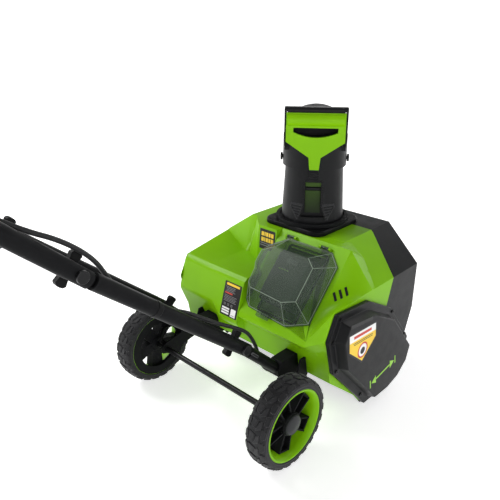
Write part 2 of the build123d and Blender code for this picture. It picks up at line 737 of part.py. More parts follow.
for side_name, side in SIDES.items():
    wheel_axis = Axis((0, AXLE_Y, AXLE_Z), (1, 0, 0))
    wheel_centre = (side * WHEEL_X, AXLE_Y, AXLE_Z)
    wheel_face = Plane(wheel_centre, x_dir=(0, 1, 0), z_dir=(side, 0, 0))
    half = TYRE_WIDTH / 2
    with BuildPart() as tyre:
        with BuildSketch(Plane(wheel_centre, x_dir=(1, 0, 0), z_dir=(0, -1, 0))):
            with BuildLine():
                crown = ThreePointArc((-half + 4, WHEEL_R - 3), (0, WHEEL_R), (half - 4, WHEEL_R - 3))
                Polyline(crown @ 1, (half, WHEEL_R - 9), (half, RIM_R), (-half, RIM_R),
                         (-half, WHEEL_R - 9), crown @ 0)
            make_face()
        revolve(axis=wheel_axis)
    keep(f"tyre_{side_name}", tyre)

    with BuildPart() as rim:
        with BuildSketch(Plane(wheel_centre, x_dir=(side, 0, 0), z_dir=(0, -side, 0))):
            with BuildLine():
                Polyline((half - 1, RIM_R), (half - 1, 66), (half - 4, 60), (half - 8, 59),
                         (-half + 2, 61), (-half + 2, RIM_R), close=True)
            make_face()
        revolve(axis=wheel_axis)
    keep(f"rim_{side_name}", rim)

    with BuildPart() as spoke_hub:
        for level, r_out, r_in, depth in ((-15, 59, 53, 24), (-18, 20, AXLE_R + FIT, 32)):
            with BuildSketch(wheel_face.offset(level)):
                Circle(r_out)
                Circle(r_in, mode=Mode.SUBTRACT)
            extrude(amount=depth)
        with BuildSketch(wheel_face.offset(-2)):
            with PolarLocations(0, 5, start_angle=39):
                with Locations((36, 0)):
                    Trapezoid(24, 40, 84, rotation=90)
        extrude(amount=9)
    keep(f"spoke_hub_{side_name}", spoke_hub)

# ---------------------------------------------------------------- handle
with BuildPart() as handle_brackets:
    for side in SIDES.values():
        with BuildSketch(Plane.YZ.offset(side * TUBE_X)):
            with BuildLine():
                Polyline((-120, 152), (-120, 98), (-178, 100), (-214, 121), (-218, 138),
                         (-206, 152), (-184, 152), close=True)
            make_face()
        extrude(amount=14, both=True)
        with BuildSketch(tube_plane(side * TUBE_X, HANDLE_FOOT, LOWER_FOLD)):
            Circle(LOWER_TUBE_R)
        extrude(amount=60, mode=Mode.SUBTRACT)
    add(body_solid, mode=Mode.SUBTRACT)
    add(block_solid, mode=Mode.SUBTRACT)
keep("handle_brackets", handle_brackets)


def tongue_end(x, bolt, far_end):
    """Flattened end of a tube: a flat bar from the round tube to past the fold bolt."""
    with BuildPart() as flat:
        with BuildSketch(Plane.YZ.offset(x)):
            with BuildLine():
                Line(bolt, along(bolt, far_end, FOLD_REACH + 9))
            trace(line_width=18)
            with Locations(bolt):
                Circle(9)
                Circle(BOLT_R, mode=Mode.SUBTRACT)
        extrude(amount=TONGUE / 2, both=True)
    return flat.part


def fork_cut(x, bolt, far_end):
    """Space taken out of a tube end so that its two cheeks straddle a tongue."""
    start = along(bolt, far_end, -40)
    with BuildPart() as slot:
        with BuildSketch(tube_plane(x, start, far_end)):
            Rectangle(TONGUE + 2 * GAP, 60)
        extrude(amount=40 + 14)
        with BuildSketch(Plane.YZ.offset(x)):
            with Locations(bolt):
                Circle(BOLT_R + FIT)
        extrude(amount=40, both=True)
    return slot.part


FORK_REACH = 20.0
for side_name, side in SIDES.items():
    x = side * TUBE_X
    with BuildPart() as lower_tube:
        with BuildSketch(tube_plane(x, HANDLE_FOOT, LOWER_FOLD)):
            Circle(LOWER_TUBE_R)
            Circle(LOWER_TUBE_R - 2.2, mode=Mode.SUBTRACT)
        extrude(amount=math.dist(HANDLE_FOOT, LOWER_FOLD) - FOLD_REACH)
        add(tongue_end(x, LOWER_FOLD, HANDLE_FOOT))
    keep(f"lower_tube_{side_name}", lower_tube)

    middle_start = along(LOWER_FOLD, UPPER_FOLD, -FORK_REACH)
    with BuildPart() as middle_tube:
        with BuildSketch(tube_plane(x, middle_start, UPPER_FOLD)):
            Circle(TUBE_R)
            Circle(TUBE_R - 3.6, mode=Mode.SUBTRACT)
        extrude(amount=math.dist(middle_start, UPPER_FOLD) - FOLD_REACH)
        add(fork_cut(x, LOWER_FOLD, UPPER_FOLD), mode=Mode.SUBTRACT)
        add(tongue_end(x, UPPER_FOLD, LOWER_FOLD))
    keep(f"middle_tube_{side_name}", middle_tube)

    upper_start = along(UPPER_FOLD, HANDLE_TOP, -FORK_REACH)
    upper_end = along(HANDLE_TOP, UPPER_FOLD, 110)
    with BuildPart() as upper_tube:
        with BuildSketch(tube_plane(x, upper_start, HANDLE_TOP)):
            Circle(TUBE_R)
            Circle(TUBE_R - 3.6, mode=Mode.SUBTRACT)
        extrude(amount=math.dist(upper_start, upper_end))
        add(fork_cut(x, UPPER_FOLD, HANDLE_TOP), mode=Mode.SUBTRACT)
        # headed stud that the bail lever turns on
        for start, radius, length in ((BAIL_HALF - 6, 3, 15), (BAIL_HALF - 8, 5.5, 3)):
            with BuildSketch(Plane.YZ.offset(side * start)):
                with Locations(BAIL_PIVOT):
                    Circle(radius)
            extrude(amount=side * length)
    keep(f"upper_tube_{side_name}", upper_tube)

# Top loop: one bent tube; the foam grip covers its straight bar.
climb = (HANDLE_TOP[0] - UPPER_FOLD[0], HANDLE_TOP[1] - UPPER_FOLD[1])
loop_plane = Plane((0, *HANDLE_TOP), x_dir=(1, 0, 0), z_dir=(0, -climb[1], climb[0]))
LEG = 110.0
with BuildPart() as handle_loop:
    with BuildLine(loop_plane):
        loop_path = FilletPolyline(
            (-TUBE_X, -LEG), (-TUBE_X, 0), (TUBE_X, 0), (TUBE_X, -LEG), radius=LOOP_R
        )
    with BuildSketch(tube_plane(-TUBE_X, along(HANDLE_TOP, UPPER_FOLD, LEG), HANDLE_TOP)):
        Circle(TUBE_R)
    sweep(path=loop_path)
keep("handle_loop", handle_loop)

GRIP_HALF = 56.0
with BuildPart() as foam_grip:
    with BuildSketch(Plane.YZ.offset(-GRIP_HALF)):
        with Locations(HANDLE_TOP):
            Circle(TUBE_R + 4.5)
            Circle(TUBE_R, mode=Mode.SUBTRACT)
    extrude(amount=2 * GRIP_HALF)
    fillet(foam_grip.edges().filter_by(GeomType.CIRCLE).group_by(SortBy.RADIUS)[-1], 2)
keep("foam_grip", foam_grip)

# Switch box on the inner side of the right upper tube.
BOX_FROM_TOP = 205.0
box_centre = along(HANDLE_TOP, UPPER_FOLD, BOX_FROM_TOP)
box_plane = tube_plane(72, box_centre, HANDLE_TOP)
BUTTON_R, BUTTON_TRAVEL = 9.0, 3.0
BOX_THICK = 46.0
up_normal = tuple(box_plane.y_dir)
button_plane = Plane(
    box_plane.from_local_coords((-8, BOX_THICK / 2, 18)), x_dir=(1, 0, 0), z_dir=up_normal
)
with BuildPart() as switch_box:
    with BuildSketch(box_plane.offset(-48)):
        RectangleRounded(61, BOX_THICK, 10)
    extrude(amount=96)
    with BuildSketch(tube_plane(TUBE_X, box_centre, HANDLE_TOP).offset(-60)):
        Circle(TUBE_R)
    extrude(amount=120, mode=Mode.SUBTRACT)
    with BuildSketch(button_plane.offset(-10)):
        Circle(BUTTON_R + GAP)
    extrude(amount=20, mode=Mode.SUBTRACT)
keep("switch_box", switch_box)

with BuildPart() as safety_button:
    with BuildSketch(button_plane.offset(-10 + BUTTON_TRAVEL + GAP)):
        Circle(BUTTON_R)
    extrude(amount=14)
    chamfer(safety_button.faces().sort_by(Axis.Z)[-1].edges(), 1)
keep("safety_button", safety_button)

# Bail lever: a bent rod under the top bar, on two pivots inside the loop's legs.
BAIL_R = 4.0
BAIL_REST = 60.0                # released lever's bar stands this far off the handle plane
bail_plane = tube_plane(0, BAIL_PIVOT, HANDLE_TOP)
with BuildPart() as bail_lever:
    bail_angle = math.degrees(math.atan2(BAIL_REST, 128))
    lever_plane = Plane(
        bail_plane.origin, x_dir=(1, 0, 0),
        z_dir=bail_plane.y_dir.rotate(Axis.X, -bail_angle),
    )
    with BuildLine(lever_plane):
        bail_path = FilletPolyline(
            (-BAIL_HALF, 0), (-BAIL_HALF, -134), (BAIL_HALF, -134), (BAIL_HALF, 0), radius=24
        )
    with BuildSketch(Plane(bail_path @ 0, x_dir=(1, 0, 0), z_dir=bail_path % 0)):
        Circle(BAIL_R)
    sweep(path=bail_path)
    for side in SIDES.values():
        with BuildSketch(Plane.YZ.offset(side * BAIL_HALF)):
            with Locations(BAIL_PIVOT):
                Circle(7)
                Circle(3 + FIT, mode=Mode.SUBTRACT)
        extrude(amount=4.6, both=True)
    with BuildSketch(Plane.YZ.offset(-110)):
        with Locations(BAIL_PIVOT):
            Circle(3 + FIT)
    extrude(amount=220, mode=Mode.SUBTRACT)
keep("bail_lever", bail_lever)

# ---------------------------------------------------------------- fold bolts and wing knobs
KNOB_GAP = 1.5
KNOB_THICK = 15.0
KNOB_X = TUBE_X - TUBE_R - KNOB_GAP     # knob's outer face, towards the tube
FOLDS = {"lower": (LOWER_FOLD, UPPER_FOLD), "upper": (UPPER_FOLD, HANDLE_TOP)}
for fold, (centre, far_end) in FOLDS.items():
    with BuildPart() as bolts:
        for side in SIDES.values():
            with BuildSketch(Plane.YZ.offset(side * (KNOB_X - KNOB_THICK - 2))):
                with Locations(centre):
                    Circle(BOLT_R)
            extrude(amount=side * (2 * TUBE_R + KNOB_GAP + KNOB_THICK + 3))
            with BuildSketch(Plane.YZ.offset(side * (TUBE_X + TUBE_R + 1))):
                with Locations(centre):
                    Circle(9)
            extrude(amount=side * 4)
    keep(f"{fold}_fold_bolts", bolts)
    for side_name, side in SIDES.items():
        with BuildPart() as knob:
            with BuildSketch(Plane.YZ.offset(side * KNOB_X)):
                with Locations(centre):
                    Circle(13)
                    Circle(BOLT_R + FIT, mode=Mode.SUBTRACT)
            extrude(amount=-side * KNOB_THICK)
            with BuildSketch(Plane.YZ.offset(side * (KNOB_X - 3))):
                with Locations(centre):
                    RectangleRounded(52, 20, 8, rotation=50)
                    Circle(BOLT_R + FIT, mode=Mode.SUBTRACT)
            extrude(amount=-side * (KNOB_THICK - 3))
        keep(f"{fold}_knob_{side_name}", knob)

# ---------------------------------------------------------------- control cable
CABLE_R = 3.5


def beside(start, end, distance, lift):
    """(Y, Z) point on a tube's line, lifted square to it towards its upper side."""
    y, z = along(start, end, distance)
    length = math.dist(start, end)
    return (y + lift * (end[1] - start[1]) / length, z - lift * (end[0] - start[0]) / length)


def cable(name, points):
    """Cable section: straight runs joined by arcs as large as the runs allow."""
    vectors = [Vector(*point) for point in points]
    radii = []
    for before, corner, after in zip(vectors, vectors[1:], vectors[2:]):
        run_in = corner - before
        run_out = after - corner
        half_turn = math.radians(run_in.get_angle(run_out)) / 2
        radii.append(0.45 * min(run_in.length, run_out.length) / math.tan(half_turn))
    with BuildPart() as tube:
        with BuildLine():
            route = FilletPolyline(*points, radius=radii) if radii else Line(*points)
        with BuildSketch(Plane(route @ 0, z_dir=route % 0)):
            Circle(CABLE_R)
        sweep(path=route)
    expected = math.pi * CABLE_R**2 * route.length
    assert abs(tube.part.volume / expected - 1) < 0.01, name
    keep(name, tube)
    print(name, "length", round(route.length), "radii", [round(r) for r in radii])


JOINT_GAP = 0.5                 # between cable sections that ride on different bodies
INNER_X = TUBE_X - TUBE_R - CABLE_R - 1.5       # beside the tubes, on their inner side
OVER_X = 107.0                  # over the tubes' upper side, outside the knobs
UPPER_JOIN = 118.0
MIDDLE_TOP = 78.0
MIDDLE_LOW = 150.0
GLAND = (96.0, -154.0, 104.0)

cable("cable_upper", [
    tuple(box_plane.from_local_coords((0, 0, -48))),
    tuple(box_plane.from_local_coords((0, 0, -76))),
    (82, *beside(HANDLE_TOP, UPPER_FOLD, BOX_FROM_TOP + 106, -4)),
    (INNER_X - 1, *beside(UPPER_FOLD, HANDLE_TOP, 252, 5)),
    (INNER_X, *beside(UPPER_FOLD, HANDLE_TOP, 204, 6)),
    (INNER_X + 1, *beside(UPPER_FOLD, HANDLE_TOP, 160, 8)),
    (INNER_X + 4, *beside(UPPER_FOLD, HANDLE_TOP, UPPER_JOIN + JOINT_GAP, 12)),
])
cable("cable_loop_upper", [
    (INNER_X + 4, *beside(UPPER_FOLD, HANDLE_TOP, UPPER_JOIN, 12)),
    (OVER_X, *beside(UPPER_FOLD, HANDLE_TOP, 86, 16)),
    (OVER_X, *beside(UPPER_FOLD, HANDLE_TOP, 48, 25)),
    (OVER_X, *beside(UPPER_FOLD, HANDLE_TOP, 12, 28)),
    (OVER_X, *beside(UPPER_FOLD, LOWER_FOLD, 20, -25)),
    (OVER_X - 3, *beside(UPPER_FOLD, LOWER_FOLD, 46, -16)),
    (INNER_X, *beside(UPPER_FOLD, LOWER_FOLD, MIDDLE_TOP, -4)),
])
cable("cable_middle", [
    (INNER_X, *beside(UPPER_FOLD, LOWER_FOLD, MIDDLE_TOP + JOINT_GAP, -4)),
    (INNER_X, *beside(UPPER_FOLD, LOWER_FOLD, 116, 1)),
    (INNER_X, *beside(UPPER_FOLD, LOWER_FOLD, 158, 1)),
    (INNER_X, *beside(LOWER_FOLD, UPPER_FOLD, 188, 7)),
    (INNER_X + 5, *beside(LOWER_FOLD, UPPER_FOLD, MIDDLE_LOW + JOINT_GAP, 14.5)),
])
cable("cable_loop_lower", [
    (INNER_X + 5, *beside(LOWER_FOLD, UPPER_FOLD, MIDDLE_LOW, 14.5)),
    (OVER_X, *beside(LOWER_FOLD, UPPER_FOLD, 112, 17.5)),
    (OVER_X, *beside(LOWER_FOLD, UPPER_FOLD, 76, 20)),
    (OVER_X, *beside(LOWER_FOLD, UPPER_FOLD, 24, 27)),
    (OVER_X, *beside(LOWER_FOLD, HANDLE_FOOT, 6, -29)),
    (OVER_X - 1, *beside(LOWER_FOLD, HANDLE_FOOT, 34, -23)),
    (INNER_X + 3, *beside(LOWER_FOLD, HANDLE_FOOT, 64, -14)),
    (INNER_X - 0.5, *beside(LOWER_FOLD, HANDLE_FOOT, 96, 0)),
    (INNER_X - 1, *beside(LOWER_FOLD, HANDLE_FOOT, 126, 13)),
    (GLAND[0], GLAND[1] - 38, GLAND[2]),
    (GLAND[0], GLAND[1] - 14, GLAND[2]),
])
with BuildPart() as cable_gland:
    with BuildSketch(Plane(GLAND, x_dir=(1, 0, 0), z_dir=(0, -1, 0))):
        Circle(4.6)
    with BuildSketch(Plane(GLAND, x_dir=(1, 0, 0), z_dir=(0, -1, 0)).offset(14)):
        Circle(4)
    loft()
    with BuildSketch(Plane(GLAND, x_dir=(1, 0, 0), z_dir=(0, 1, 0))):
        Circle(4.6)
    extrude(amount=14)
    add(body_solid, mode=Mode.SUBTRACT)
    add(block_solid, mode=Mode.SUBTRACT)
keep("cable_gland", cable_gland)

# Cap screws that hold the belt cover's border.
SCREW_SPOTS = [(112, 112), (46, 196), (-146, 255), (-166, 214)]
SCREW_SPOTS += [(-148, 143), (-52, 38), (20, 12), (98, 42)]
with BuildPart() as cover_screws:
    for y, z in SCREW_SPOTS:
        with BuildSketch(Plane.YZ.offset(HALF_WIDTH + BORDER_DEPTH)):
            with Locations((y, z)):
                Circle(4)
                RegularPolygon(2, 6, mode=Mode.SUBTRACT)
        extrude(amount=2.5)
keep("cover_screws", cover_screws)

# ---------------------------------------------------------------- write every piece
for name, piece in PIECES.items():
    piece.part.label = name
    export_step(piece.part, f"parts/{name}.step")
print(len(PIECES), "pieces")
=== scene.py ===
import math

import bmesh
import bpy
from mathutils import Matrix, Vector
from mathutils.bvhtree import BVHTree


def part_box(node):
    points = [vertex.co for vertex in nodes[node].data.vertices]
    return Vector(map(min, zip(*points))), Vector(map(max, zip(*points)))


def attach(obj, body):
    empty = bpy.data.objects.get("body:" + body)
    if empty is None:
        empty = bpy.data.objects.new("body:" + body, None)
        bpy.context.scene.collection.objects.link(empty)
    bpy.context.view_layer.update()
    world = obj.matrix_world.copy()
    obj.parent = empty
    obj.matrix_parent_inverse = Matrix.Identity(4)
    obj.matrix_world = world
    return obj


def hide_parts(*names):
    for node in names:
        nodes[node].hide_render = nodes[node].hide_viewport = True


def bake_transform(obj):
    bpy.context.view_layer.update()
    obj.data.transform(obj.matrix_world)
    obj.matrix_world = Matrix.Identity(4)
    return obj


# Battery snow thrower: materials, moulded detail, tread, decals and cables around the CAD frame.
# Shapes are written in millimetres in the row frame and scaled to metres as each piece is made.

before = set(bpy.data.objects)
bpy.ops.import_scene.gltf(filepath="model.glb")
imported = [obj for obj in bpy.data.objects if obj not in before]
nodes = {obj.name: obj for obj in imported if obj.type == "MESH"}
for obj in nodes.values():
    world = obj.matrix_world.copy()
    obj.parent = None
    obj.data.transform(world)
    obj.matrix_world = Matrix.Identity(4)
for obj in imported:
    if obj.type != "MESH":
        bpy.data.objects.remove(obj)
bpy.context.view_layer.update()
scene = bpy.context.scene
MM = 0.001
SIDES = {"left": -1, "right": 1}
X, Y, Z = Vector((1, 0, 0)), Vector((0, 1, 0)), Vector((0, 0, 1))


class Nodes:
    """Short way to add shader nodes and wire them."""

    def __init__(self, material):
        material.use_nodes = True
        self.tree = material.node_tree
        self.tree.nodes.clear()

    def add(self, kind, **settings):
        node = self.tree.nodes.new("ShaderNode" + kind)
        for key, value in settings.items():
            setattr(node, key, value)
        return node

    def link(self, output, socket):
        self.tree.links.new(output, socket)

    def noise(self, place, scale, detail=3.0, roughness=0.55, distortion=0.0):
        node = self.add("TexNoise")
        settings = {"Scale": scale, "Detail": detail, "Roughness": roughness, "Distortion": distortion}
        for key, value in settings.items():
            node.inputs[key].default_value = value
        self.link(place, node.inputs["Vector"])
        return node.outputs["Fac"]

    def fit(self, value, low, high, out_low, out_high):
        """Maps low..high of a value to out_low..out_high, held at both ends."""
        node = self.add("MapRange")
        self.link(value, node.inputs["Value"])
        for key, number in (("From Min", low), ("From Max", high), ("To Min", out_low), ("To Max", out_high)):
            node.inputs[key].default_value = number
        return node.outputs["Result"]

    def times(self, first, second):
        node = self.add("Math", operation="MULTIPLY")
        self.link(first, node.inputs[0])
        if isinstance(second, float):
            node.inputs[1].default_value = second
        else:
            self.link(second, node.inputs[1])
        return node.outputs[0]

    def mix(self, share, first, second):
        """Colour between first and second; either is a socket or an (r, g, b)."""
        node = self.add("Mix", data_type="RGBA")
        self.link(share, node.inputs["Factor"])
        colours = [s for s in node.inputs if s.type == "RGBA"]
        for socket, value in zip(colours, (first, second)):
            if isinstance(value, tuple):
                socket.default_value = (*value, 1)
            else:
                self.link(value, socket)
        return [s for s in node.outputs if s.type == "RGBA"][0]


# ---------------------------------------------------------------- camera, floor and light
def make_camera():
    """The catalogue view: from behind, on the machine's right, a little above."""
    towards_camera = Vector((0.6354, -0.6657, 0.3912))
    data = bpy.data.cameras.new("camera")
    data.lens = 40.56
    data.sensor_width = 36
    camera = bpy.data.objects.new("camera", data)
    camera.location = (0.7147, -0.9094, 0.7756)
    camera.rotation_euler = (-towards_camera).to_track_quat("-Z", "Y").to_euler()
    scene.collection.objects.link(camera)
    scene.camera = camera


def area_light(name, place, target, size, power):
    data = bpy.data.lights.new(name, "AREA")
    data.size = size
    data.energy = power
    light = bpy.data.objects.new(name, data)
    light.location = place
    light.rotation_euler = (Vector(target) - Vector(place)).to_track_quat("-Z", "Y").to_euler()
    scene.collection.objects.link(light)


def make_studio():
    """Pale floor, pale surroundings and three soft boxes."""
    world = bpy.data.worlds.new("studio")
    world.use_nodes = True
    world.node_tree.nodes["Background"].inputs["Color"].default_value = (1, 1, 1, 1)
    world.node_tree.nodes["Background"].inputs["Strength"].default_value = 0.22
    scene.world = world
    scene.view_settings.view_transform = "Standard"
    paint = bpy.data.materials.new("floor_paint")
    net = Nodes(paint)
    output = net.add("OutputMaterial")
    shader = net.add("BsdfPrincipled")
    net.link(shader.outputs["BSDF"], output.inputs["Surface"])
    shader.inputs["Base Color"].default_value = (0.9, 0.9, 0.9, 1)
    shader.inputs["Roughness"].default_value = 0.9
    shader.inputs["Emission Color"].default_value = (1, 1, 1, 1)
    # brighter away from the machine, so that the floor meets the wall without a line
    reach = net.add("VectorMath", operation="LENGTH")
    net.link(net.add("TexCoord").outputs["Object"], reach.inputs[0])
    height_of = net.add("SeparateXYZ")
    net.link(net.add("TexCoord").outputs["Object"], height_of.inputs[0])
    near_glow = net.fit(reach.outputs["Value"], 0.8, 3.0, 0.6, 1.1)
    wall_fade = net.fit(height_of.outputs["Z"], 1.5, 7.5, 1, 0.2)
    net.link(net.times(near_glow, wall_fade), shader.inputs["Emission Strength"])
    far, height = 30, 8             # metres from the middle to each wall, and the walls' height
    corners = [(-far, -far), (far, -far), (far, far), (-far, far)]
    mesh = bpy.data.meshes.new("floor")
    mesh.from_pydata(
        [(x, y, -0.0005) for x, y in corners] + [(x, y, height) for x, y in corners], [],
        [(0, 1, 2, 3), (0, 1, 5, 4), (1, 2, 6, 5), (2, 3, 7, 6), (3, 0, 4, 7)],
    )
    floor = bpy.data.objects.new("floor", mesh)
    mesh.materials.append(paint)
    scene.collection.objects.link(floor)
    area_light("key", (-2.3, -0.9, 2.5), (0, -0.1, 0.25), 1.5, 78)
    area_light("fill", (2.3, -1.1, 1.2), (0, -0.1, 0.2), 1.6, 16)
    area_light("back", (0.3, 2.2, 2.0), (0, 0, 0.3), 1.6, 15)


# ---------------------------------------------------------------- materials
def surface(name, colour, roughness, metallic=0.0, tone=0.12, grain=1500.0, bump=0.12,
            scuffs=0.25, edge_wear_and_highlight=0.3, worn_and_highlit=None, coat=0.0, alpha=1.0, sheen=0.0, shine=0.22, pattern=None):
    """Principled material with slow tone changes, fine grain, scuffs, and edges lightened both by rubbed wear
    and as a painted highlight.
    """
    material = bpy.data.materials.new(name)
    net = Nodes(material)
    output = net.add("OutputMaterial")
    shader = net.add("BsdfPrincipled")
    net.link(shader.outputs["BSDF"], output.inputs["Surface"])
    place = net.add("TexCoord").outputs["Object"]
    dark = tuple(c * (1 - tone) for c in colour)
    light = tuple(min(1.0, c * (1 + tone)) for c in colour)
    slow = net.fit(net.noise(place, 11, 4), 0.3, 0.7, 0, 1)
    shade = net.mix(slow, dark, light)
    if pattern:
        shade = pattern(net, place, shade)
    scratch = net.fit(net.noise(place, 70, 6, 0.7, 1.5), 0.56, 0.74, 0, 1)
    worn_and_highlit = worn_and_highlit or tuple(min(1.0, c * 1.5 + 0.03) for c in colour)
    shade = net.mix(net.times(scratch, scuffs * 0.35), shade, worn_and_highlit)
    # edges lightened towards the worn colour: partly rubbed wear, partly a painted highlight
    if edge_wear_and_highlight:
        edge = net.add("Bevel", samples=4)
        edge.inputs["Radius"].default_value = 0.0014
        facing = net.add("VectorMath", operation="DOT_PRODUCT")
        net.link(edge.outputs["Normal"], facing.inputs[0])
        net.link(net.add("NewGeometry").outputs["Normal"], facing.inputs[1])
        rubbed_and_highlit = net.fit(facing.outputs["Value"], 0.995, 0.85, 0, 1)
        patchy = net.fit(net.noise(place, 45, 5, 0.65), 0.38, 0.62, 0.25, 1)
        shade = net.mix(net.times(net.times(rubbed_and_highlit, patchy), edge_wear_and_highlight), shade, worn_and_highlit)
    net.link(shade, shader.inputs["Base Color"])
    net.link(net.fit(net.noise(place, 38, 5, 0.6), 0.3, 0.7, roughness * 0.88, min(1.0, roughness * 1.16)),
             shader.inputs["Roughness"])
    relief = net.add("Bump")
    relief.inputs["Strength"].default_value = bump
    relief.inputs["Distance"].default_value = 0.0004
    net.link(net.noise(place, grain, 2, 0.5), relief.inputs["Height"])
    net.link(relief.outputs["Normal"], shader.inputs["Normal"])
    shader.inputs["Metallic"].default_value = metallic
    shader.inputs["Specular IOR Level"].default_value = shine
    shader.inputs["Coat Weight"].default_value = coat
    shader.inputs["Coat Roughness"].default_value = 0.12
    shader.inputs["Alpha"].default_value = alpha
    shader.inputs["Sheen Weight"].default_value = sheen
    return material


def low_fade(base_z, top_z, low_colour):
    """Pattern that fades from low_colour at base_z to the material's own shade at top_z, in metres."""
    def pattern(net, place, shade):
        split = net.add("SeparateXYZ")
        net.link(place, split.inputs[0])
        return net.mix(net.fit(split.outputs["Z"], base_z, top_z, 0, 1), low_colour, shade)
    return pattern


GREEN = (0.19, 0.45, 0.002)
BLACK = (0.0035, 0.0036, 0.004)
DARK = (0.0085, 0.0088, 0.0096)
green = surface("green_shell", GREEN, 0.32, tone=0.05, scuffs=0.12, edge_wear_and_highlight=0.18, shine=0.12)
black = surface("black_moulding", DARK, 0.5, grain=1900, bump=0.2, shine=0.05)
gloss_black = surface("black_cover", DARK, 0.38, grain=1300, bump=0.1, shine=0.14)
deep_black = surface("black_trim", BLACK, 0.42, edge_wear_and_highlight=0.2, shine=0.1)
chute_black = surface("chute_moulding", DARK, 0.42, grain=1700, bump=0.16, shine=0.12)
rubber = surface("paddle_rubber", (0.011, 0.011, 0.012), 0.78, grain=700, bump=0.3, sheen=0.1)
tyre_rubber = surface("tyre_rubber", (0.013, 0.013, 0.0145), 0.7, grain=900, bump=0.35, scuffs=0.6,
                      sheen=0.15)
foam = surface("grip_foam", (0.014, 0.014, 0.015), 0.92, grain=1100, bump=0.9, scuffs=0.3, edge_wear_and_highlight=0, sheen=0.4)
powder_coat = surface("powder_coat", (0.0085, 0.0088, 0.0095), 0.36, grain=650, bump=0.08, edge_wear_and_highlight=0.35,
                      worn_and_highlit=(0.04, 0.04, 0.042), shine=0.04)
dark_steel = surface("dark_steel", (0.007, 0.0072, 0.0078), 0.34, metallic=0.2, grain=800, bump=0.08,
                     worn_and_highlit=(0.2, 0.2, 0.21))
zinc = surface("zinc_plate", (0.52, 0.53, 0.55), 0.3, metallic=1.0, tone=0.14, grain=420, bump=0.1,
               worn_and_highlit=(0.75, 0.75, 0.76))
cast = surface("cast_aluminium", (0.5, 0.5, 0.52), 0.5, metallic=1.0, grain=900, bump=0.35)
sheath = surface("cable_sheath", (0.015, 0.0155, 0.016), 0.48, grain=900, bump=0.12, edge_wear_and_highlight=0)
smoked = surface("smoked_lens", (0.06, 0.09, 0.06), 0.22, tone=0.05, grain=500, bump=0.01, scuffs=0,
                 edge_wear_and_highlight=0, alpha=0.38, shine=0.3)
# pale colour for painted highlights along the door's edges
lens_edge_highlight = surface("lens_edge_highlight", (0.3, 0.36, 0.29), 0.2, tone=0.05, grain=500, bump=0.01, edge_wear_and_highlight=0)
pack_black = surface("pack_moulding", (0.024, 0.025, 0.03), 0.5, grain=1500, bump=0.2)
hub_grey = surface("hub_cap_moulding", (0.02, 0.021, 0.023), 0.4, grain=1400, bump=0.15)
trim_grey = surface("grey_trim", (0.1, 0.104, 0.11), 0.4, grain=1500, bump=0.12)
slot_green = surface("slot_green", (0.03, 0.07, 0.003), 0.5, tone=0.08, scuffs=0.1, edge_wear_and_highlight=0.1,
                     pattern=low_fade(0.372, 0.455, (0.004, 0.006, 0.0035)))
# black for print, also used as painted shade in slots and the chute's windows
ink_and_shade_black = surface("film_and_shade_black", (0.014, 0.013, 0.014), 0.35, grain=300, bump=0.03, edge_wear_and_highlight=0)
ink_white = surface("film_white", (0.82, 0.82, 0.82), 0.4, tone=0.04, grain=300, bump=0.03,
                     edge_wear_and_highlight=0, scuffs=0.05)
ink_grey = surface("film_grey", (0.2, 0.2, 0.2), 0.4, grain=300, bump=0.03, edge_wear_and_highlight=0)
ink_yellow = surface("film_yellow", (0.86, 0.58, 0.05), 0.4, tone=0.05, grain=300, bump=0.03,
                     edge_wear_and_highlight=0, scuffs=0.05)
ink_red = surface("film_red", (0.55, 0.06, 0.04), 0.4, tone=0.06, grain=300, bump=0.03, edge_wear_and_highlight=0)
ink_green = surface("film_green", (0.3, 0.62, 0.06), 0.4, tone=0.06, grain=300, bump=0.03, edge_wear_and_highlight=0)


# ---------------------------------------------------------------- helpers for pieces
def span(node):
    """Lowest and highest corner of a CAD node, in millimetres."""
    low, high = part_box(node)
    return low / MM, high / MM


def middle(node):
    low, high = span(node)
    return (low + high) / 2


def axes(origin, first, second):
    """Frame matrix with its X along first, its Z square to both, and its origin at origin."""
    u = Vector(first).normalized()
    n = u.cross(Vector(second)).normalized()
    v = n.cross(u)
    return Matrix.LocRotScale(origin, Matrix((u, v, n)).transposed().to_quaternion(), None)


def face_frame(origin, across, out):
    """Frame with local X along across, local Z along out, and local Y up."""
    up = out.cross(across).normalized()
    return Matrix.LocRotScale(origin, Matrix((across, up, out)).transposed().to_quaternion(), None)


def piece(name, bm, materials, body, replaces=(), bevel=0.0, segments=2, sharp=32):
    """Turns a millimetre mesh into a piece that rides on a body."""
    bmesh.ops.remove_doubles(bm, verts=bm.verts, dist=1e-4)
    bmesh.ops.recalc_face_normals(bm, faces=bm.faces)
    bmesh.ops.scale(bm, vec=(MM, MM, MM), verts=bm.verts)
    for face in bm.faces:
        face.smooth = True
    for edge in bm.edges:
        edge.smooth = not edge.is_manifold or edge.calc_face_angle(0) < math.radians(sharp)
    mesh = bpy.data.meshes.new(name)
    bm.to_mesh(mesh)
    bm.free()
    for material in materials if isinstance(materials, (list, tuple)) else [materials]:
        mesh.materials.append(material)
    made = bpy.data.objects.new(name, mesh)
    scene.collection.objects.link(made)
    if bevel:
        add_bevel(made, bevel, segments)
    if body:
        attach(made, body)
    if replaces:
        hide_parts(*replaces)
    return made


def add_bevel(made, width, segments):
    """Rounds every edge sharper than 25 degrees and shades the flats evenly."""
    edges = made.modifiers.new("round_edges", "BEVEL")
    edges.width = width * MM
    edges.segments = segments
    edges.limit_method = "ANGLE"
    edges.angle_limit = math.radians(25)
    edges.miter_outer = "MITER_ARC" if segments > 1 else "MITER_SHARP"
    made.modifiers.new("even_shading", "WEIGHTED_NORMAL").keep_sharp = False


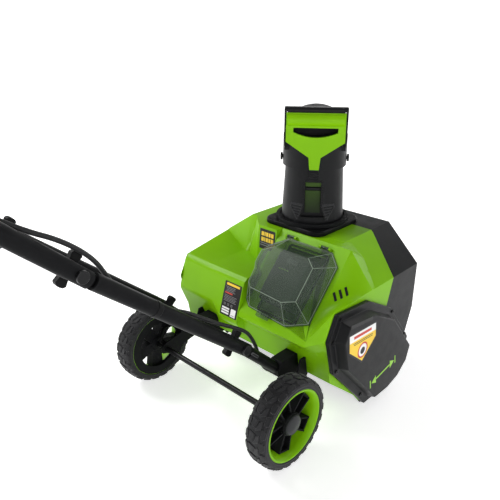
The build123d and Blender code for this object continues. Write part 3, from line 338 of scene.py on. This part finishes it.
def dress(names, material, bevel, segments=2, flats=True):
    """Gives CAD nodes a material and soft moulded edges."""
    for name in names:
        made = nodes[name]
        made.data.materials.clear()
        made.data.materials.append(material)
        made.modifiers.new("join_corners", "WELD").merge_threshold = 1e-5
        if flats:
            merge = made.modifiers.new("merge_flats", "DECIMATE")
            merge.decimate_type = "DISSOLVE"
            merge.angle_limit = math.radians(0.4)
        add_bevel(made, bevel, segments)


def lathe(bm, profile, centre, axis, steps=96, material=0):
    """Closed ring from (distance along the axis, radius) points turned about the axis."""
    base = axes(centre, axis, (0.13, 0.21, 0.97))
    rings = []
    for step in range(steps):
        angle = 2 * math.pi * step / steps
        rings.append([
            bm.verts.new(base @ Vector((along, r * math.cos(angle), r * math.sin(angle))))
            for along, r in profile
        ])
    count = len(profile)
    for step in range(steps):
        ring, after = rings[step], rings[(step + 1) % steps]
        for k in range(count):
            corners = [ring[k], ring[(k + 1) % count], after[(k + 1) % count], after[k]]
            bm.faces.new(corners).material_index = material
    return bm


def prism(bm, outline, place, low, high, shrink=0.0, material=0):
    """Extrudes (a, b) points of a frame from level low to high; the top is shrunk about its middle."""
    mid = sum((Vector(p) for p in outline), Vector((0, 0))) / len(outline)
    bottom = [bm.verts.new(place @ Vector((a, b, low))) for a, b in outline]
    top = []
    for point in outline:
        a, b = Vector(point) + (mid - Vector(point)) * shrink
        top.append(bm.verts.new(place @ Vector((a, b, high))))
    faces = [bm.faces.new(bottom[::-1]), bm.faces.new(top)]
    for k in range(len(outline)):
        after = (k + 1) % len(outline)
        faces.append(bm.faces.new([bottom[k], bottom[after], top[after], top[k]]))
    for face in faces:
        face.material_index = material


def slab(width, height, corner=0.0, centre=(0, 0), steps=5):
    """Outline of a rectangle, with round corners if corner isn't zero."""
    points = []
    for quarter, (sx, sy) in enumerate(((1, 1), (-1, 1), (-1, -1), (1, -1))):
        cx, cy = sx * (width / 2 - corner), sy * (height / 2 - corner)
        for step in range(steps if corner else 1):
            angle = math.radians(90) * (quarter + step / max(1, steps - 1))
            points.append((
                centre[0] + cx + corner * math.cos(angle), centre[1] + cy + corner * math.sin(angle)
            ))
    return points


def ring_outline(radius, steps=32, centre=(0, 0)):
    return [
        (centre[0] + radius * math.cos(2 * math.pi * k / steps),
         centre[1] + radius * math.sin(2 * math.pi * k / steps))
        for k in range(steps)
    ]


def rod(bm, points, radius, sides=16, material=0):
    """Bent round rod through the points, with flat ends."""
    rows = []
    for k, point in enumerate(points):
        before, after = Vector(points[max(0, k - 1)]), Vector(points[min(len(points) - 1, k + 1)])
        heading = (after - before).normalized()
        u = heading.cross(X).normalized()
        v = heading.cross(u)
        rows.append([
            bm.verts.new(Vector(point) + radius * (u * math.cos(t) + v * math.sin(t)))
            for t in (2 * math.pi * s / sides for s in range(sides))
        ])
    faces = [bm.faces.new(rows[0][::-1]), bm.faces.new(rows[-1])]
    for low, high in zip(rows, rows[1:]):
        for s in range(sides):
            after = (s + 1) % sides
            faces.append(bm.faces.new([low[s], low[after], high[after], high[s]]))
    for face in faces:
        face.material_index = material


SURFACES = {}


def touch(node, start, direction):
    """First point of a CAD node on a straight line, in millimetres."""
    if node not in SURFACES:
        mesh = nodes[node].data
        SURFACES[node] = BVHTree.FromPolygons(
            [v.co / MM for v in mesh.vertices], [tuple(p.vertices) for p in mesh.polygons]
        )
    hit = SURFACES[node].ray_cast(start, direction)[0]
    if hit is None:
        raise ValueError(f"nothing of {node} lies along the line from {start}")
    return hit


def decal(name, node, place, shapes, materials, body="root"):
    """Printed film on a CAD face: each shape is (material number, lift, outline)."""
    bm = bmesh.new()
    out = (place.to_3x3() @ Z).normalized()
    for material, lift, outline in shapes:
        feet = [touch(node, place @ Vector((a, b, 30)), -out) for a, b in outline]
        low = [bm.verts.new(foot - out * 0.2) for foot in feet]
        high = [bm.verts.new(foot + out * lift) for foot in feet]
        faces = [bm.faces.new(low[::-1]), bm.faces.new(high)]
        for k in range(len(outline)):
            after = (k + 1) % len(outline)
            faces.append(bm.faces.new([low[k], low[after], high[after], high[k]]))
        for face in faces:
            face.material_index = material
    return piece(name, bm, materials, body)


# ---------------------------------------------------------------- CAD nodes that keep their shape
def dress_frame():
    dress(["rear_shell", "left_cover"], green, 2.2, 3)
    dress(["front_shroud", "belt_cover"], gloss_black, 2.0, 3)
    dress(["chute_base"], deep_black, 1.5, 3)
    dress(["chute_retainer", "cable_gland", "controller"], black, 0.8)
    dress(["door_latch"], smoked, 0.8)
    dress(["handle_brackets", "battery_tray"], black, 1.2)
    dress(["chute_tube", "deflector_hood"], chute_black, 1.2, 3)
    dress(["deflector_grip"], green, 1.0, 2, flats=False)
    dress(["battery_door"], smoked, 1.1, 2)
    dress(["switch_box"], black, 3.0, 3)
    dress(["auger_housing", "side_plates", "axle_brackets"], powder_coat, 0.5)
    dress([n for n in nodes if n.startswith(("lower_tube", "middle_tube", "upper_tube"))], powder_coat, 0.5)
    dress(["handle_loop"], powder_coat, 0.3)
    dress(["bail_lever"], dark_steel, 0.6)
    dress(["axle"], dark_steel, 0.5)
    dress(["scraper_bar"], deep_black, 1.0)
    dress(["lower_fold_bolts", "upper_fold_bolts", "deflector_bolts", "door_hinge_pin"], dark_steel, 0.4)
    dress(["auger_shaft", "motor_shaft", "auger_bearings"], zinc, 0.3)
    dress(["cover_screws"], dark_steel, 0.3)
    dress(["motor", "drive_pulley", "auger_pulley"], cast, 0.5)
    dress(["drive_belt"], rubber, 0.4)
    dress(["centre_paddle", "side_paddles"], rubber, 1.2, 3)
    for name in ("cable_upper", "cable_middle"):
        nodes[name].data.materials.clear()
        nodes[name].data.materials.append(sheath)


# ---------------------------------------------------------------- wheels
PITCHES = 22


def tread_block(bm, base, corners, depth):
    """Raised tread block; corners are (across, degrees) pairs on the crown."""
    mid = sum((Vector(c) for c in corners), Vector((0, 0))) / len(corners)

    def spot(corner, lift):
        across, turn = corner
        radius = 86.6 - 4.5 * (across / 23) ** 4 + lift
        angle = math.radians(turn)
        return base @ Vector((across, radius * math.cos(angle), radius * math.sin(angle)))

    low = [bm.verts.new(spot(c, -1.2)) for c in corners]
    high = [bm.verts.new(spot(Vector(c).lerp(mid, 0.1), depth)) for c in corners]
    bm.faces.new(low[::-1])
    bm.faces.new(high)
    for k in range(len(corners)):
        after = (k + 1) % len(corners)
        bm.faces.new([low[k], low[after], high[after], high[k]])


def make_wheel(name, side):
    centre = middle(f"tyre_{name}")
    base = axes(centre, X, Y)
    body = f"{name}_wheel"
    bm = bmesh.new()
    carcass = [(-21.5, 71.2), (-23, 73.5), (-22.2, 75), (-22.2, 78), (-22.8, 79), (-21, 83), (-15, 85.4)]
    lathe(bm, carcass + [(0, 86.2)] + [(-a, r) for a, r in reversed(carcass)], centre, X)
    pitch = 360 / PITCHES
    for k in range(PITCHES):
        turn = k * pitch
        tread_block(bm, base, [
            (-12, turn - 1.5), (2.5, turn + 1), (-3.5, turn + 10.5), (-12, turn + 8.5),
        ], 2.0)
        tread_block(bm, base, [
            (12, turn + 9.5), (-1.5, turn + 14.2), (4.8, turn + 2.2), (12, turn - 0.5),
        ], 2.0)
        tread_block(bm, base, [
            (-2.2, turn + 11.4), (3.4, turn + 2.6), (2.4, turn + 0.6), (-4.8, turn + 11),
        ], 1.2)
        for sign in (-1, 1):
            start = turn + (0 if sign < 0 else pitch / 2)
            tread_block(bm, base, [
                (sign * 13, start + 0.5), (sign * 13, start + 11.5),
                (sign * 19, start + 12.5), (sign * 19.5, start - 1.2),
            ], 2.0)
            tread_block(bm, base, [
                (sign * 17.5, start + 12), (sign * 17.5, start),
                (sign * 22.3, start + 1.2), (sign * 22.3, start + 10.4),
            ], 1.6)
    piece(f"treaded_tyre_{name}", bm, tyre_rubber, body, [f"tyre_{name}"],
          bevel=0.5, segments=1, sharp=28)

    bm = bmesh.new()
    rim = [(21, 71.2), (22, 70.4), (22, 68.2), (20.6, 66.6), (16, 63), (8, 60.6), (-12, 59.6), (-19, 61.5)]
    rim += [(-21, 66), (-21, 71.2)]
    lathe(bm, [(side * a, r) for a, r in rim], centre, X)
    piece(f"wheel_rim_{name}", bm, green, body, [f"rim_{name}"],
          bevel=0.4, segments=2, sharp=40)

    bm = bmesh.new()
    face = axes(centre, Y, Z) if side > 0 else axes(centre, Z, Y)
    for k in range(5):
        turn = math.radians(39 + 72 * k)
        arm = face @ Matrix.Rotation(turn, 4, "Z")
        prism(bm, [(15, -10.5), (58, -15), (60, -8), (60, 8), (58, 15), (15, 10.5)], arm, -12, -1)
        for edge in (-1, 1):
            flank = [(14, edge * 10.8), (59.2, edge * 15.4), (59.6, edge * 11.8), (14, edge * 7.2)]
            prism(bm, flank, arm, -1.2, 10.5, 0.03)
        prism(bm, [(55.5, -11), (59.6, -11.5), (59.6, 11.5), (55.5, 11)], arm, -1.2, 9.5, 0.03)
    hub = [(-16, 6.3), (-16, 15), (-12, 18), (2, 21.5), (12, 23), (14.5, 22.2), (14.5, 6.3)]
    lathe(bm, [(side * a, r) for a, r in hub], centre, X, 64)
    collar = [(-14, 53.5), (-14, 60.4), (-10, 60.2), (-9, 57.5), (-10.5, 53.5)]
    lathe(bm, [(side * a, r) for a, r in collar], centre, X)
    inner = [(-21.6, 52), (-21.6, 70.6), (-20.4, 70.6), (-18.6, 60.8), (-18.6, 52)]
    lathe(bm, [(side * a, r) for a, r in inner], centre, X)
    piece(f"spoked_hub_{name}", bm, black, body, [f"spoke_hub_{name}"],
          bevel=0.7, segments=2)

    bm = bmesh.new()
    cap = [(14.2, 6.5), (14.2, 20.2), (17, 20.2), (19.2, 18.6), (20, 16.5), (21.2, 12)]
    cap += [(22.2, 6), (22.4, 0.01)]
    lathe(bm, [(side * a, r) for a, r in cap], centre, X, 64)
    piece(f"hub_cap_{name}", bm, hub_grey, body, bevel=0.5, segments=2)


# ---------------------------------------------------------------- handle
def curve_through(points, steps=9):
    """Points along the smooth curve that starts and ends on the route and rounds its corners."""
    route = [Vector(p) for p in points]
    line = [route[0]]
    for k in range(1, len(route) - 1):
        start = route[0] if k == 1 else (route[k - 1] + route[k]) / 2
        end = route[-1] if k == len(route) - 2 else (route[k] + route[k + 1]) / 2
        for step in range(1, steps + 1):
            t = step / steps
            line.append(start * (1 - t) ** 2 + route[k] * 2 * t * (1 - t) + end * t * t)
    return line


def beside(x, start, end, distance, lift):
    """Point on a tube's line, lifted square to it."""
    run = (end - start).normalized()
    spot = start + run * distance
    return Vector((x, spot.y + lift * run.z, spot.z - lift * run.y))


def make_cables():
    lower, upper, top = middle("lower_fold_bolts"), middle("upper_fold_bolts"), middle("foam_grip")
    foot = lower + Vector((0, 105, -99.5))
    gland = middle("cable_gland")
    inner, over = 97.5, 107.0
    bm = bmesh.new()
    rod(bm, curve_through([
        beside(inner + 4, upper, top, 118.2, 12), beside(over, upper, top, 86, 16),
        beside(over, upper, top, 48, 25), beside(over, upper, top, 12, 28),
        beside(over, upper, lower, 20, -25), beside(over - 3, upper, lower, 46, -16),
        beside(inner, upper, lower, 78.2, -4),
    ]), 3.5, 20)
    loop = piece("bent_loop_upper", bm, sheath, None, ["cable_loop_upper"], sharp=60)
    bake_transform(loop)
    bm = bmesh.new()
    rod(bm, curve_through([
        beside(inner + 5, lower, upper, 150.2, 14.5), beside(over, lower, upper, 112, 17.5),
        beside(over, lower, upper, 76, 20), beside(over, lower, upper, 24, 27),
        beside(over, lower, foot, 6, -29), beside(over - 1, lower, foot, 34, -23),
        beside(inner + 3, lower, foot, 64, -14), beside(inner - 0.5, lower, foot, 96, 0),
        beside(inner - 1, lower, foot, 126, 13), gland + Vector((0, -32, 0)), gland + Vector((0, -6, 0)),
    ]), 3.5, 20)
    loop = piece("bent_loop_lower", bm, sheath, None, ["cable_loop_lower"], sharp=60)
    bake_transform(loop)
    # clips that hold the cable to the right tube
    for name, start, end, distance, x, lift, body in (
        ("cable_clip_middle", upper, lower, 150, inner, 1, "middle_handle"),
        ("cable_clip_upper", upper, top, 204, inner, 6, "upper_handle"),
    ):
        bm = bmesh.new()
        tube_spot = beside(115.0, start, end, distance, 0)
        cable_spot = beside(x, start, end, distance, lift if end is top else lift)
        run = (end - start).normalized()
        outline = []
        place = axes(tube_spot, X, run.cross(X))
        local = place.inverted() @ cable_spot
        for spot, radius, first, last in (((0, 0), 13.3, -115, 115), ((local.x, local.y), 4.4, 100, 260)):
            for step in range(17):
                angle = math.radians(first + (last - first) * step / 16)
                outline.append((spot[0] + radius * math.cos(angle), spot[1] + radius * math.sin(angle)))
        prism(bm, outline, place, -5, 5)
        piece(name, bm, deep_black, body, bevel=0.6, segments=2)


def make_knobs():
    for fold in ("lower", "upper"):
        for name, side in SIDES.items():
            node = f"{fold}_knob_{name}"
            low, high = span(node)
            outer = low.x if side < 0 else high.x
            centre = Vector((outer, (low.y + high.y) / 2, (low.z + high.z) / 2))
            place = axes(centre, Y, Z) if side < 0 else axes(centre, Z, Y)
            bm = bmesh.new()
            lathe(bm, [(0, 4.2), (0, 11), (2.2, 12.4), (5, 11), (12.5, 9.6), (14.8, 8), (14.8, 4.2)],
                  centre, X * -side, 48)
            tilt = place @ Matrix.Rotation(math.radians(50 if side < 0 else 40), 4, "Z")
            for end in (-1, 1):
                wing = [(end * 7, -6), (end * 15, -7.4), (end * 22, -9), (end * 25.4, -5.5), (end * 26, 0)]
                wing += [(end * 25.4, 5.5), (end * 22, 9), (end * 15, 7.4), (end * 7, 6)]
                prism(bm, wing if end > 0 else wing[::-1], tilt, 3.2, 14.4, 0.1)
            piece(f"wing_{node}", bm, deep_black, node, [node], bevel=1.4, segments=3)


def make_grip():
    low, high = span("foam_grip")
    centre = (low + high) / 2
    half, radius = (high.x - low.x) / 2, (high.z - low.z) / 2
    bm = bmesh.new()
    profile = [(-half, radius - 4.4), (-half, radius - 1.8), (-half + 1.2, radius - 0.5)]
    for step in range(9):
        share = step / 8
        profile.append(((share * 2 - 1) * (half - 4), radius - 0.2 + 0.35 * math.sin(math.pi * share)))
    profile += [(half - 1.2, radius - 0.5), (half, radius - 1.8), (half, radius - 4.4)]
    lathe(bm, profile, centre, X, 72)
    grip = piece("padded_grip", bm, foam, "upper_handle", ["foam_grip"], sharp=50)


def make_button():
    low, high = span("safety_button")
    node = nodes["safety_button"]
    points = [v.co / MM for v in node.data.vertices]
    run = (middle("foam_grip") - middle("upper_fold_bolts")).normalized()
    out = X.cross(run) * -1
    if out.z < 0:
        out = -out
    centre = (low + high) / 2
    heights = [(p - centre).dot(out) for p in points]
    foot, head = centre + out * min(heights), max(heights) - min(heights)
    bm = bmesh.new()
    lathe(bm, [(0, 0.01), (0, 9), (head - 2.2, 9), (head - 0.9, 8.6), (head - 0.1, 7.2), (head - 0.9, 4.5),
               (head - 1.3, 0.01)], foot, out, 48)
    piece("start_button_cap", bm, green, "start_button", ["safety_button"],
          bevel=0.3, segments=2)
    # a bezel on the switch box
    box = middle("switch_box")
    place = axes(box, X, run)
    if (place.to_3x3() @ Z).dot(out) < 0:
        place = axes(box, run, X)
    bm = bmesh.new()
    ring = [(0, 9.6), (0, 12.2), (1.2, 12), (1.6, 11), (1.6, 9.6)]
    top = foot + out * (head - 4.4 - 1.6)
    lathe(bm, ring, top, out, 48)
    piece("button_bezel", bm, deep_black, "upper_handle", bevel=0.3)


# ---------------------------------------------------------------- chute
def make_chute():
    base = middle("chute_base")
    turn = math.radians(37)
    across = Vector((math.cos(turn), math.sin(turn), 0))
    back = Vector((math.sin(turn), -math.cos(turn), 0))
    axis = Vector((base.x, base.y, 0))

    def on_cone(a, z, lift):
        """Point on the chute's rear, a to its right, at height z, lift above the wall."""
        radius = 67 - 7 * (z - 365) / 135 + lift
        angle = a / radius
        return axis + across * (radius * math.sin(angle)) + back * (radius * math.cos(angle)) + Z * z

    def patch(bm, outline, low, high, material=0):
        """Raised patch on the cone from (a, z) corners."""
        feet = [bm.verts.new(on_cone(a, z, low)) for a, z in outline]
        tops = [bm.verts.new(on_cone(a, z, high)) for a, z in outline]
        bm.faces.new(feet[::-1]).material_index = material
        bm.faces.new(tops).material_index = material
        for k in range(len(outline)):
            after = (k + 1) % len(outline)
            bm.faces.new([feet[k], feet[after], tops[after], tops[k]]).material_index = material

    bm = bmesh.new()
    for side in (-1, 1):
        # finned window: a black sheet that paints the shade of the recess, with a frame and five fins in
        # lighter grey as painted edge highlights
        window = [(side * 20, 404), (side * 50, 403), (side * 52, 396), (side * 34, 369), (side * 29, 369)]
        patch(bm, window if side < 0 else window[::-1], -0.8, 0.25, 0)
        rim = [window[0], window[1], (side * 50, 401.6), (side * 20, 402.4)]
        patch(bm, rim if side < 0 else rim[::-1], -0.3, 1.5, 1)
        edge = [window[1], window[2], window[3], (side * 32.6, 370), (side * 49.4, 396), (side * 48.4, 402)]
        patch(bm, edge if side < 0 else edge[::-1], -0.3, 1.5, 1)
        for k in range(6):
            share = k / 5
            a0, z0 = 21 + 9 * share, 401 - 30 * share
            a1, z1 = 49 - 15 * share, 399 - 27 * share
            fin = [(side * a0, z0), (side * a1, z1 + 2), (side * a1, z1), (side * a0, z0 - 1.6)]
            patch(bm, fin if side < 0 else fin[::-1], -0.3, 1.3, 1)
        # slot's raised lip: straight, then flaring out to the foot
        lip = [(side * 17, 452), (side * 19, 452), (side * 19, 401), (side * 28.4, 377), (side * 30, 369)]
        lip += [(side * 27.6, 369), (side * 26.4, 376), (side * 17, 400)]
        patch(bm, lip if side > 0 else lip[::-1], -0.5, 1.9, 2)
        for step in range(9):
            z = 404 + 5.2 * step
            tooth = [(side * 19, z), (side * 21.4, z), (side * 21.4, z + 2.4), (side * 19, z + 2.4)]
            patch(bm, tooth if side > 0 else tooth[::-1], -0.5, 1.3, 2)
    patch(bm, [(-19, 451), (19, 451), (19, 453.4), (-19, 453.4)], -0.5, 2.2, 2)
    piece("chute_window_fins", bm, [ink_and_shade_black, hub_grey, chute_black], "chute")

    # panel in the slot, green fading to black towards its foot, with a bar at the top
    bm = bmesh.new()
    prism(bm, slab(32, 48, 0.0, (0, 408)), face_frame(axis + back * 55.1, across, back), 0, 1.6)
    piece("slot_panel", bm, slot_green, "chute", bevel=0.4)
    bm = bmesh.new()
    prism(bm, slab(32, 9, 0.0, (0, 446)), face_frame(axis + back * 55.1, across, back), 0, 5.5)
    piece("slot_bar", bm, slot_green, "chute", bevel=1.0, segments=2)
    bm = bmesh.new()
    prism(bm, slab(30, 5.5, 0.0, (0, 436)), face_frame(axis + back * 55.1, across, back), 0, 4.2)
    piece("slot_ledge", bm, chute_black, "chute", bevel=0.6)
    # strip that closes the joint between grip and crossbar
    bm = bmesh.new()
    top = span("deflector_grip")[1].z
    prism(bm, slab(112, 10, 0.0, (0, top)), face_frame(axis + back * 64.5, across, back), 0, 4.5)
    piece("hood_joint_strip", bm, chute_black, "deflector", bevel=0.5)
    # heads on the deflector's pivots
    for side in (-1, 1):
        centre = Vector((base.x, base.y, 490)) + across * (side * 70.5)
        bm = bmesh.new()
        steps = 48
        lathe(bm, [(-2, 0.01), (-2, 6), (1, 6), (1.8, 5), (1.8, 0.01)], centre, across * side, steps)
        piece(f"pivot_cap_{'right' if side > 0 else 'left'}", bm, deep_black, "deflector",
              bevel=0.5, segments=2)


# ---------------------------------------------------------------- battery and door
def door_frame():
    """Door plane: local X to the right, local Y up the slope, local Z out of the housing."""
    out = Vector((0, -0.7389, 0.6738))
    tray_low, tray_high = span("battery_tray")
    centre = (tray_low + tray_high) / 2 + out * 16
    centre.x -= 10
    return face_frame(centre, X, out)


def make_battery():
    place = door_frame()
    bm = bmesh.new()
    width, length = 88.0, 112.0
    level = -28.6
    prism(bm, slab(width, length, 5, (10, 0)), place, level, 22)
    prism(bm, slab(width, length, 5, (10, 0)), place, 21.8, 33.6, 0.16)
    # side rails, end grip and latch button
    for side in (-1, 1):
        prism(bm, slab(3, 92, 1, (10 + side * 42.4, 2)), place, 20, 26.5)
    for k in range(6):
        prism(bm, slab(40, 2.6, 1, (10, -22 - 4.6 * k)), place, 33.2, 34.0)
    prism(bm, slab(34, 16, 3, (10, 34)), place, 33.2, 34.0)
    piece("ribbed_battery", bm, [pack_black], "battery", ["battery_pack"],
          bevel=1.2, segments=3)
    bm = bmesh.new()
    prism(bm, slab(28, 10, 3, (10, 34)), place, 33.8, 34.9)
    for k in range(3):
        prism(bm, slab(22, 1.4, 0.6, (10, 31.5 + 2.6 * k)), place, 34.8, 35.3)
    piece("battery_latch_button", bm, trim_grey, "battery", bevel=0.4)
    bm = bmesh.new()
    for k in range(4):
        prism(bm, slab(4, 1.6, 0.7, (-22 + 7 * k + 10, 14)), place, 33.4, 34.15)
    piece("charge_lamps", bm, ink_green, "battery", bevel=0.2)
    # finger ribs of the smoked door, and the dark rim round the bay
    bm = bmesh.new()
    for k in range(5):
        prism(bm, slab(2.4, 9, 1, (-20 + 6 * k, -81)), place, 3.2, 5.2)
    piece("door_finger_ribs", bm, smoked, "door", bevel=0.4)
    # pale lines painted along the door's flange and raised top as edge highlights
    rim = [(-46, 84.5), (63, 84.5), (87.5, 61), (87.5, -62.5), (41, -84.5), (-59, -77.5)]
    rim += [(-73.5, -65), (-73.5, -7), (-87.5, 7), (-87.5, 57)]
    face = [(-38, 50), (46, 50), (66, 34), (66, -38), (36, -50), (-48, -46)]
    face += [(-58, -36), (-60, -6), (-66, 6), (-66, 34)]
    bm = bmesh.new()
    for outline, level in ((rim, 3.4), (face, 43.8)):
        for k in range(len(outline)):
            ends = [place @ Vector((*outline[j % len(outline)], level)) for j in (k, k + 1)]
            rod(bm, ends, 0.5, 8)
    for low, high in zip(rim, face):
        rod(bm, [place @ Vector((*low, 3.4)), place @ Vector((*high, 43.8))], 0.4, 8)
    piece("door_edge_highlights", bm, lens_edge_highlight, "door")
    bm = bmesh.new()
    outline = [(-36, 74), (57, 74), (57, -74), (-36, -74)]
    for k in range(4):
        a, b = Vector(outline[k]), Vector(outline[(k + 1) % 4])
        run = (b - a).normalized()
        side = Vector((-run.y, run.x))
        prism(bm, [a, b, b + side * 4, a + side * 4][::-1], place, -6, 2.4)
    piece("bay_rim", bm, deep_black, "root", bevel=0.8)


# ---------------------------------------------------------------- housing details
def right_face(y, z, x):
    """Frame on the right end of the housing: local X forward, local Y up, local Z out."""
    return Matrix.LocRotScale(Vector((x, y, z)), Matrix((Y, Z, X)).transposed().to_quaternion(), None)


def make_cover_details():
    low, high = span("belt_cover")
    face = high.x
    place = right_face(0, 0, face)
    bm = bmesh.new()
    # recessed grip slot under the cover's upper edge, drawn as a flat black film that paints the recess's
    # shade
    prism(bm, [(-140, 248), (-66, 238), (-66, 231), (-140, 240)], place, -0.6, 0.35)
    piece("cover_slot", bm, ink_and_shade_black, "root", bevel=0.1)
    # generic sticker: pale head, yellow shield and a dark ring
    bm = bmesh.new()
    shield = [(-146, 229), (-50, 222), (-46, 187), (-93, 146), (-142, 187)]
    prism(bm, shield, place, -0.3, 0.30, 0, 0)
    inner = [(-142.5, 225.5), (-53.5, 219), (-49.8, 188.6), (-93, 150.8), (-138.6, 188.6)]
    prism(bm, inner, place, 0.1, 0.42, 0, 1)
    head = [(-142.5, 225.5), (-53.5, 219), (-51.6, 203), (-140.6, 209)]
    prism(bm, head, place, 0.1, 0.5, 0, 2)
    prism(bm, [(-128, 219.5), (-68, 215), (-67.4, 209), (-127.4, 213.2)], place, 0.1, 0.58, 0, 3)
    prism(bm, ring_outline(17, 40, (-94, 176)), place, 0.1, 0.5, 0, 3)
    prism(bm, ring_outline(13.4, 40, (-94, 176)), place, 0.1, 0.58, 0, 2)
    prism(bm, ring_outline(7.6, 24, (-94, 175)), place, 0.1, 0.66, 0, 0)
    for k in range(2):
        z = 199.5 - 3.6 * k
        bar = [(-128 + 2 * k, z + 4.4), (-62, z), (-62, z - 1.5), (-128 + 2 * k, z + 2.9)]
        prism(bm, bar, place, 0.1, 0.5, 0, 0)
    piece("cover_sticker", bm, [ink_and_shade_black, ink_yellow, ink_white, ink_red], "root")
    # green double arrow: the clearing-width mark
    bm = bmesh.new()
    mark = right_face(-4, 80, face) @ Matrix.Rotation(math.radians(10), 4, "Z")
    prism(bm, [(-26, -2), (26, -2), (26, 2), (-26, 2)], mark, -0.3, 0.35)
    for end in (-1, 1):
        head = [(end * 43, 0), (end * 27, 10), (end * 27, -10)]
        prism(bm, head if end > 0 else head[::-1], mark, -0.3, 0.35)
        bar = [(end * 46, -10), (end * 49, -10), (end * 49, 10), (end * 46, 10)]
        prism(bm, bar if end > 0 else bar[::-1], mark, -0.3, 0.35)
    piece("width_mark", bm, ink_green, "root")
    # clips along the front edge
    bm = bmesh.new()
    for y, z, turn in ((120, 76, 72), (92, 28, 38), (49, 8, 24)):
        spot = right_face(y, z, low.x + 8) @ Matrix.Rotation(math.radians(turn), 4, "Z")
        prism(bm, slab(12, 6, 2), spot, -4, 5)
    piece("cover_clips", bm, deep_black, "root", bevel=1.0, segments=2)


def make_labels():
    # rating label on the plinth's rear face
    out = Vector((0, -98, 29)).normalized()
    place = face_frame(Vector((-44.5, -173, 211)), X, out)
    shapes = [(0, 0.5, slab(49, 74, 1.5))]

    def bar(a, b, width, height, colour, lift=0.62):
        shapes.append((colour, lift, slab(width, height, 0.0, (a, b))))

    bar(0, 32, 38, 5, 1)
    for row in range(4):
        bar(-6 + row % 2, 25.5 - 3.1 * row, 28 - 3 * (row % 3), 1.2, 2)
    bar(-9, 12.6, 22, 3.0, 3)
    for row in range(5):
        bar(-2 - row % 2, 7.2 - 3.0 * row, 36 - 4 * (row % 2), 1.1, 2)
    for column in range(3):
        bar(-15 + 10 * column, -12, 5, 5, 2)
        bar(-15 + 10 * column, -12, 2.6, 2.6, 0, 0.72)
    for row in range(3):
        bar(-10, -20.5 - 5.4 * row, 21, 3.6, 4)
    bar(13, -26, 14, 17, 4)
    bar(13, -31.5, 9, 1.0, 0, 0.72)
    decal("rating_label", "rear_shell", place, shapes, [ink_and_shade_black, ink_yellow, ink_grey, ink_red, ink_white])
    # small label on the upper block's wall
    place = face_frame(Vector((-43, -61.8, 316)), X, Vector((0, -83, 6)).normalized())
    shapes = [(0, 0.22, slab(44, 46, 1.5))]
    for row in range(2):
        a = -17.0
        for width in (7, 3, 6, 5, 7):
            bar(a + width / 2, 12 - 12.5 * row, width, 9, 1)
            a += width + 1.6
    for row in range(2):
        bar(-2, -9 - 5 * row, 34, 1.6, 2)
    decal("upper_label", "rear_shell", place, shapes, [ink_and_shade_black, ink_yellow, ink_grey])
    # three slanted bars on the right flank
    view = Vector((0.6354, -0.6657, 0.3912))
    place = face_frame(Vector((189.5, -105.5, 283)), Vector((0.53, 0.71, 0.35)), view.normalized())
    shapes = []
    for k in range(3):
        a = -15.0 + 12.5 * k
        shapes.append((0, 0.3, [(a - 3.6, -8), (a + 1.6, -8), (a + 5.6, 8), (a + 0.4, 8)]))
    decal("flank_bars", "rear_shell", place, shapes, [ink_and_shade_black])


def make_small_parts():
    """Hexagonal frame by the left axle arm and the slot on the right lower tube, its opening a black film as
    painted shade.
    """
    axle = middle("axle")
    centre = Vector((-166, axle.y + 20, axle.z + 22))
    place = Matrix.LocRotScale(centre, Matrix((Y, Z, X)).transposed().to_quaternion(), None)
    bm = bmesh.new()
    for outer, inner, low, high in ((31, 25, 0, 9), (24.6, 20, 0, 5)):
        for k in range(6):
            a, b = math.radians(60 * k + 8), math.radians(60 * k + 68)
            corners = [(outer, a), (outer, b), (inner, b), (inner, a)]
            prism(bm, [(r * math.cos(t), r * math.sin(t)) for r, t in corners], place, low, high)
    prism(bm, [(-26, -27), (-12, -24), (-14, -34), (-24, -36)], place, -1, 10)
    piece("left_hex_frame", bm, deep_black, "root", bevel=0.8, segments=2)
    fold = middle("lower_fold_bolts")
    run = Vector((0, 105, -99.5)).normalized()
    spot = fold + run * 36 + X * (span("lower_tube_right")[1].x - 0.4)
    place = Matrix.LocRotScale(spot, Matrix((run, X.cross(run), X)).transposed().to_quaternion(), None)
    bm = bmesh.new()
    prism(bm, slab(24, 5.4, 2.6), place, -1.5, 0.5)
    piece("tube_slot_rim", bm, trim_grey, "root", bevel=0.3)
    # the slot's opening: a flat black film as painted shade
    bm = bmesh.new()
    prism(bm, slab(21, 2.8, 1.3), place, -1.5, 0.75)
    piece("tube_slot", bm, ink_and_shade_black, "root", bevel=0.1)


def make_auger_details():
    """Paddle rivets: four on each flat of the centre paddle."""
    low, high = span("centre_paddle")
    centre = (low + high) / 2
    bm = bmesh.new()
    for a in (-36, -12, 12, 36):
        for radius in (-62, 62):
            for up in (-1, 1):
                spot = Vector((centre.x + a, centre.y + radius, centre.z + up * 3.8))
                lathe(bm, [(0, 0.01), (0, 4.2), (1.2, 4.0), (2.0, 2.6), (2.2, 0.01)], spot, Z * up, 24)
    piece("paddle_rivets", bm, zinc, "auger", bevel=0.0)


make_camera()
make_studio()
dress_frame()
for wheel_name, wheel_side in SIDES.items():
    make_wheel(wheel_name, wheel_side)
make_cables()
make_knobs()
make_grip()
make_button()
make_chute()
make_battery()
make_cover_details()
make_labels()
make_small_parts()
make_auger_details()
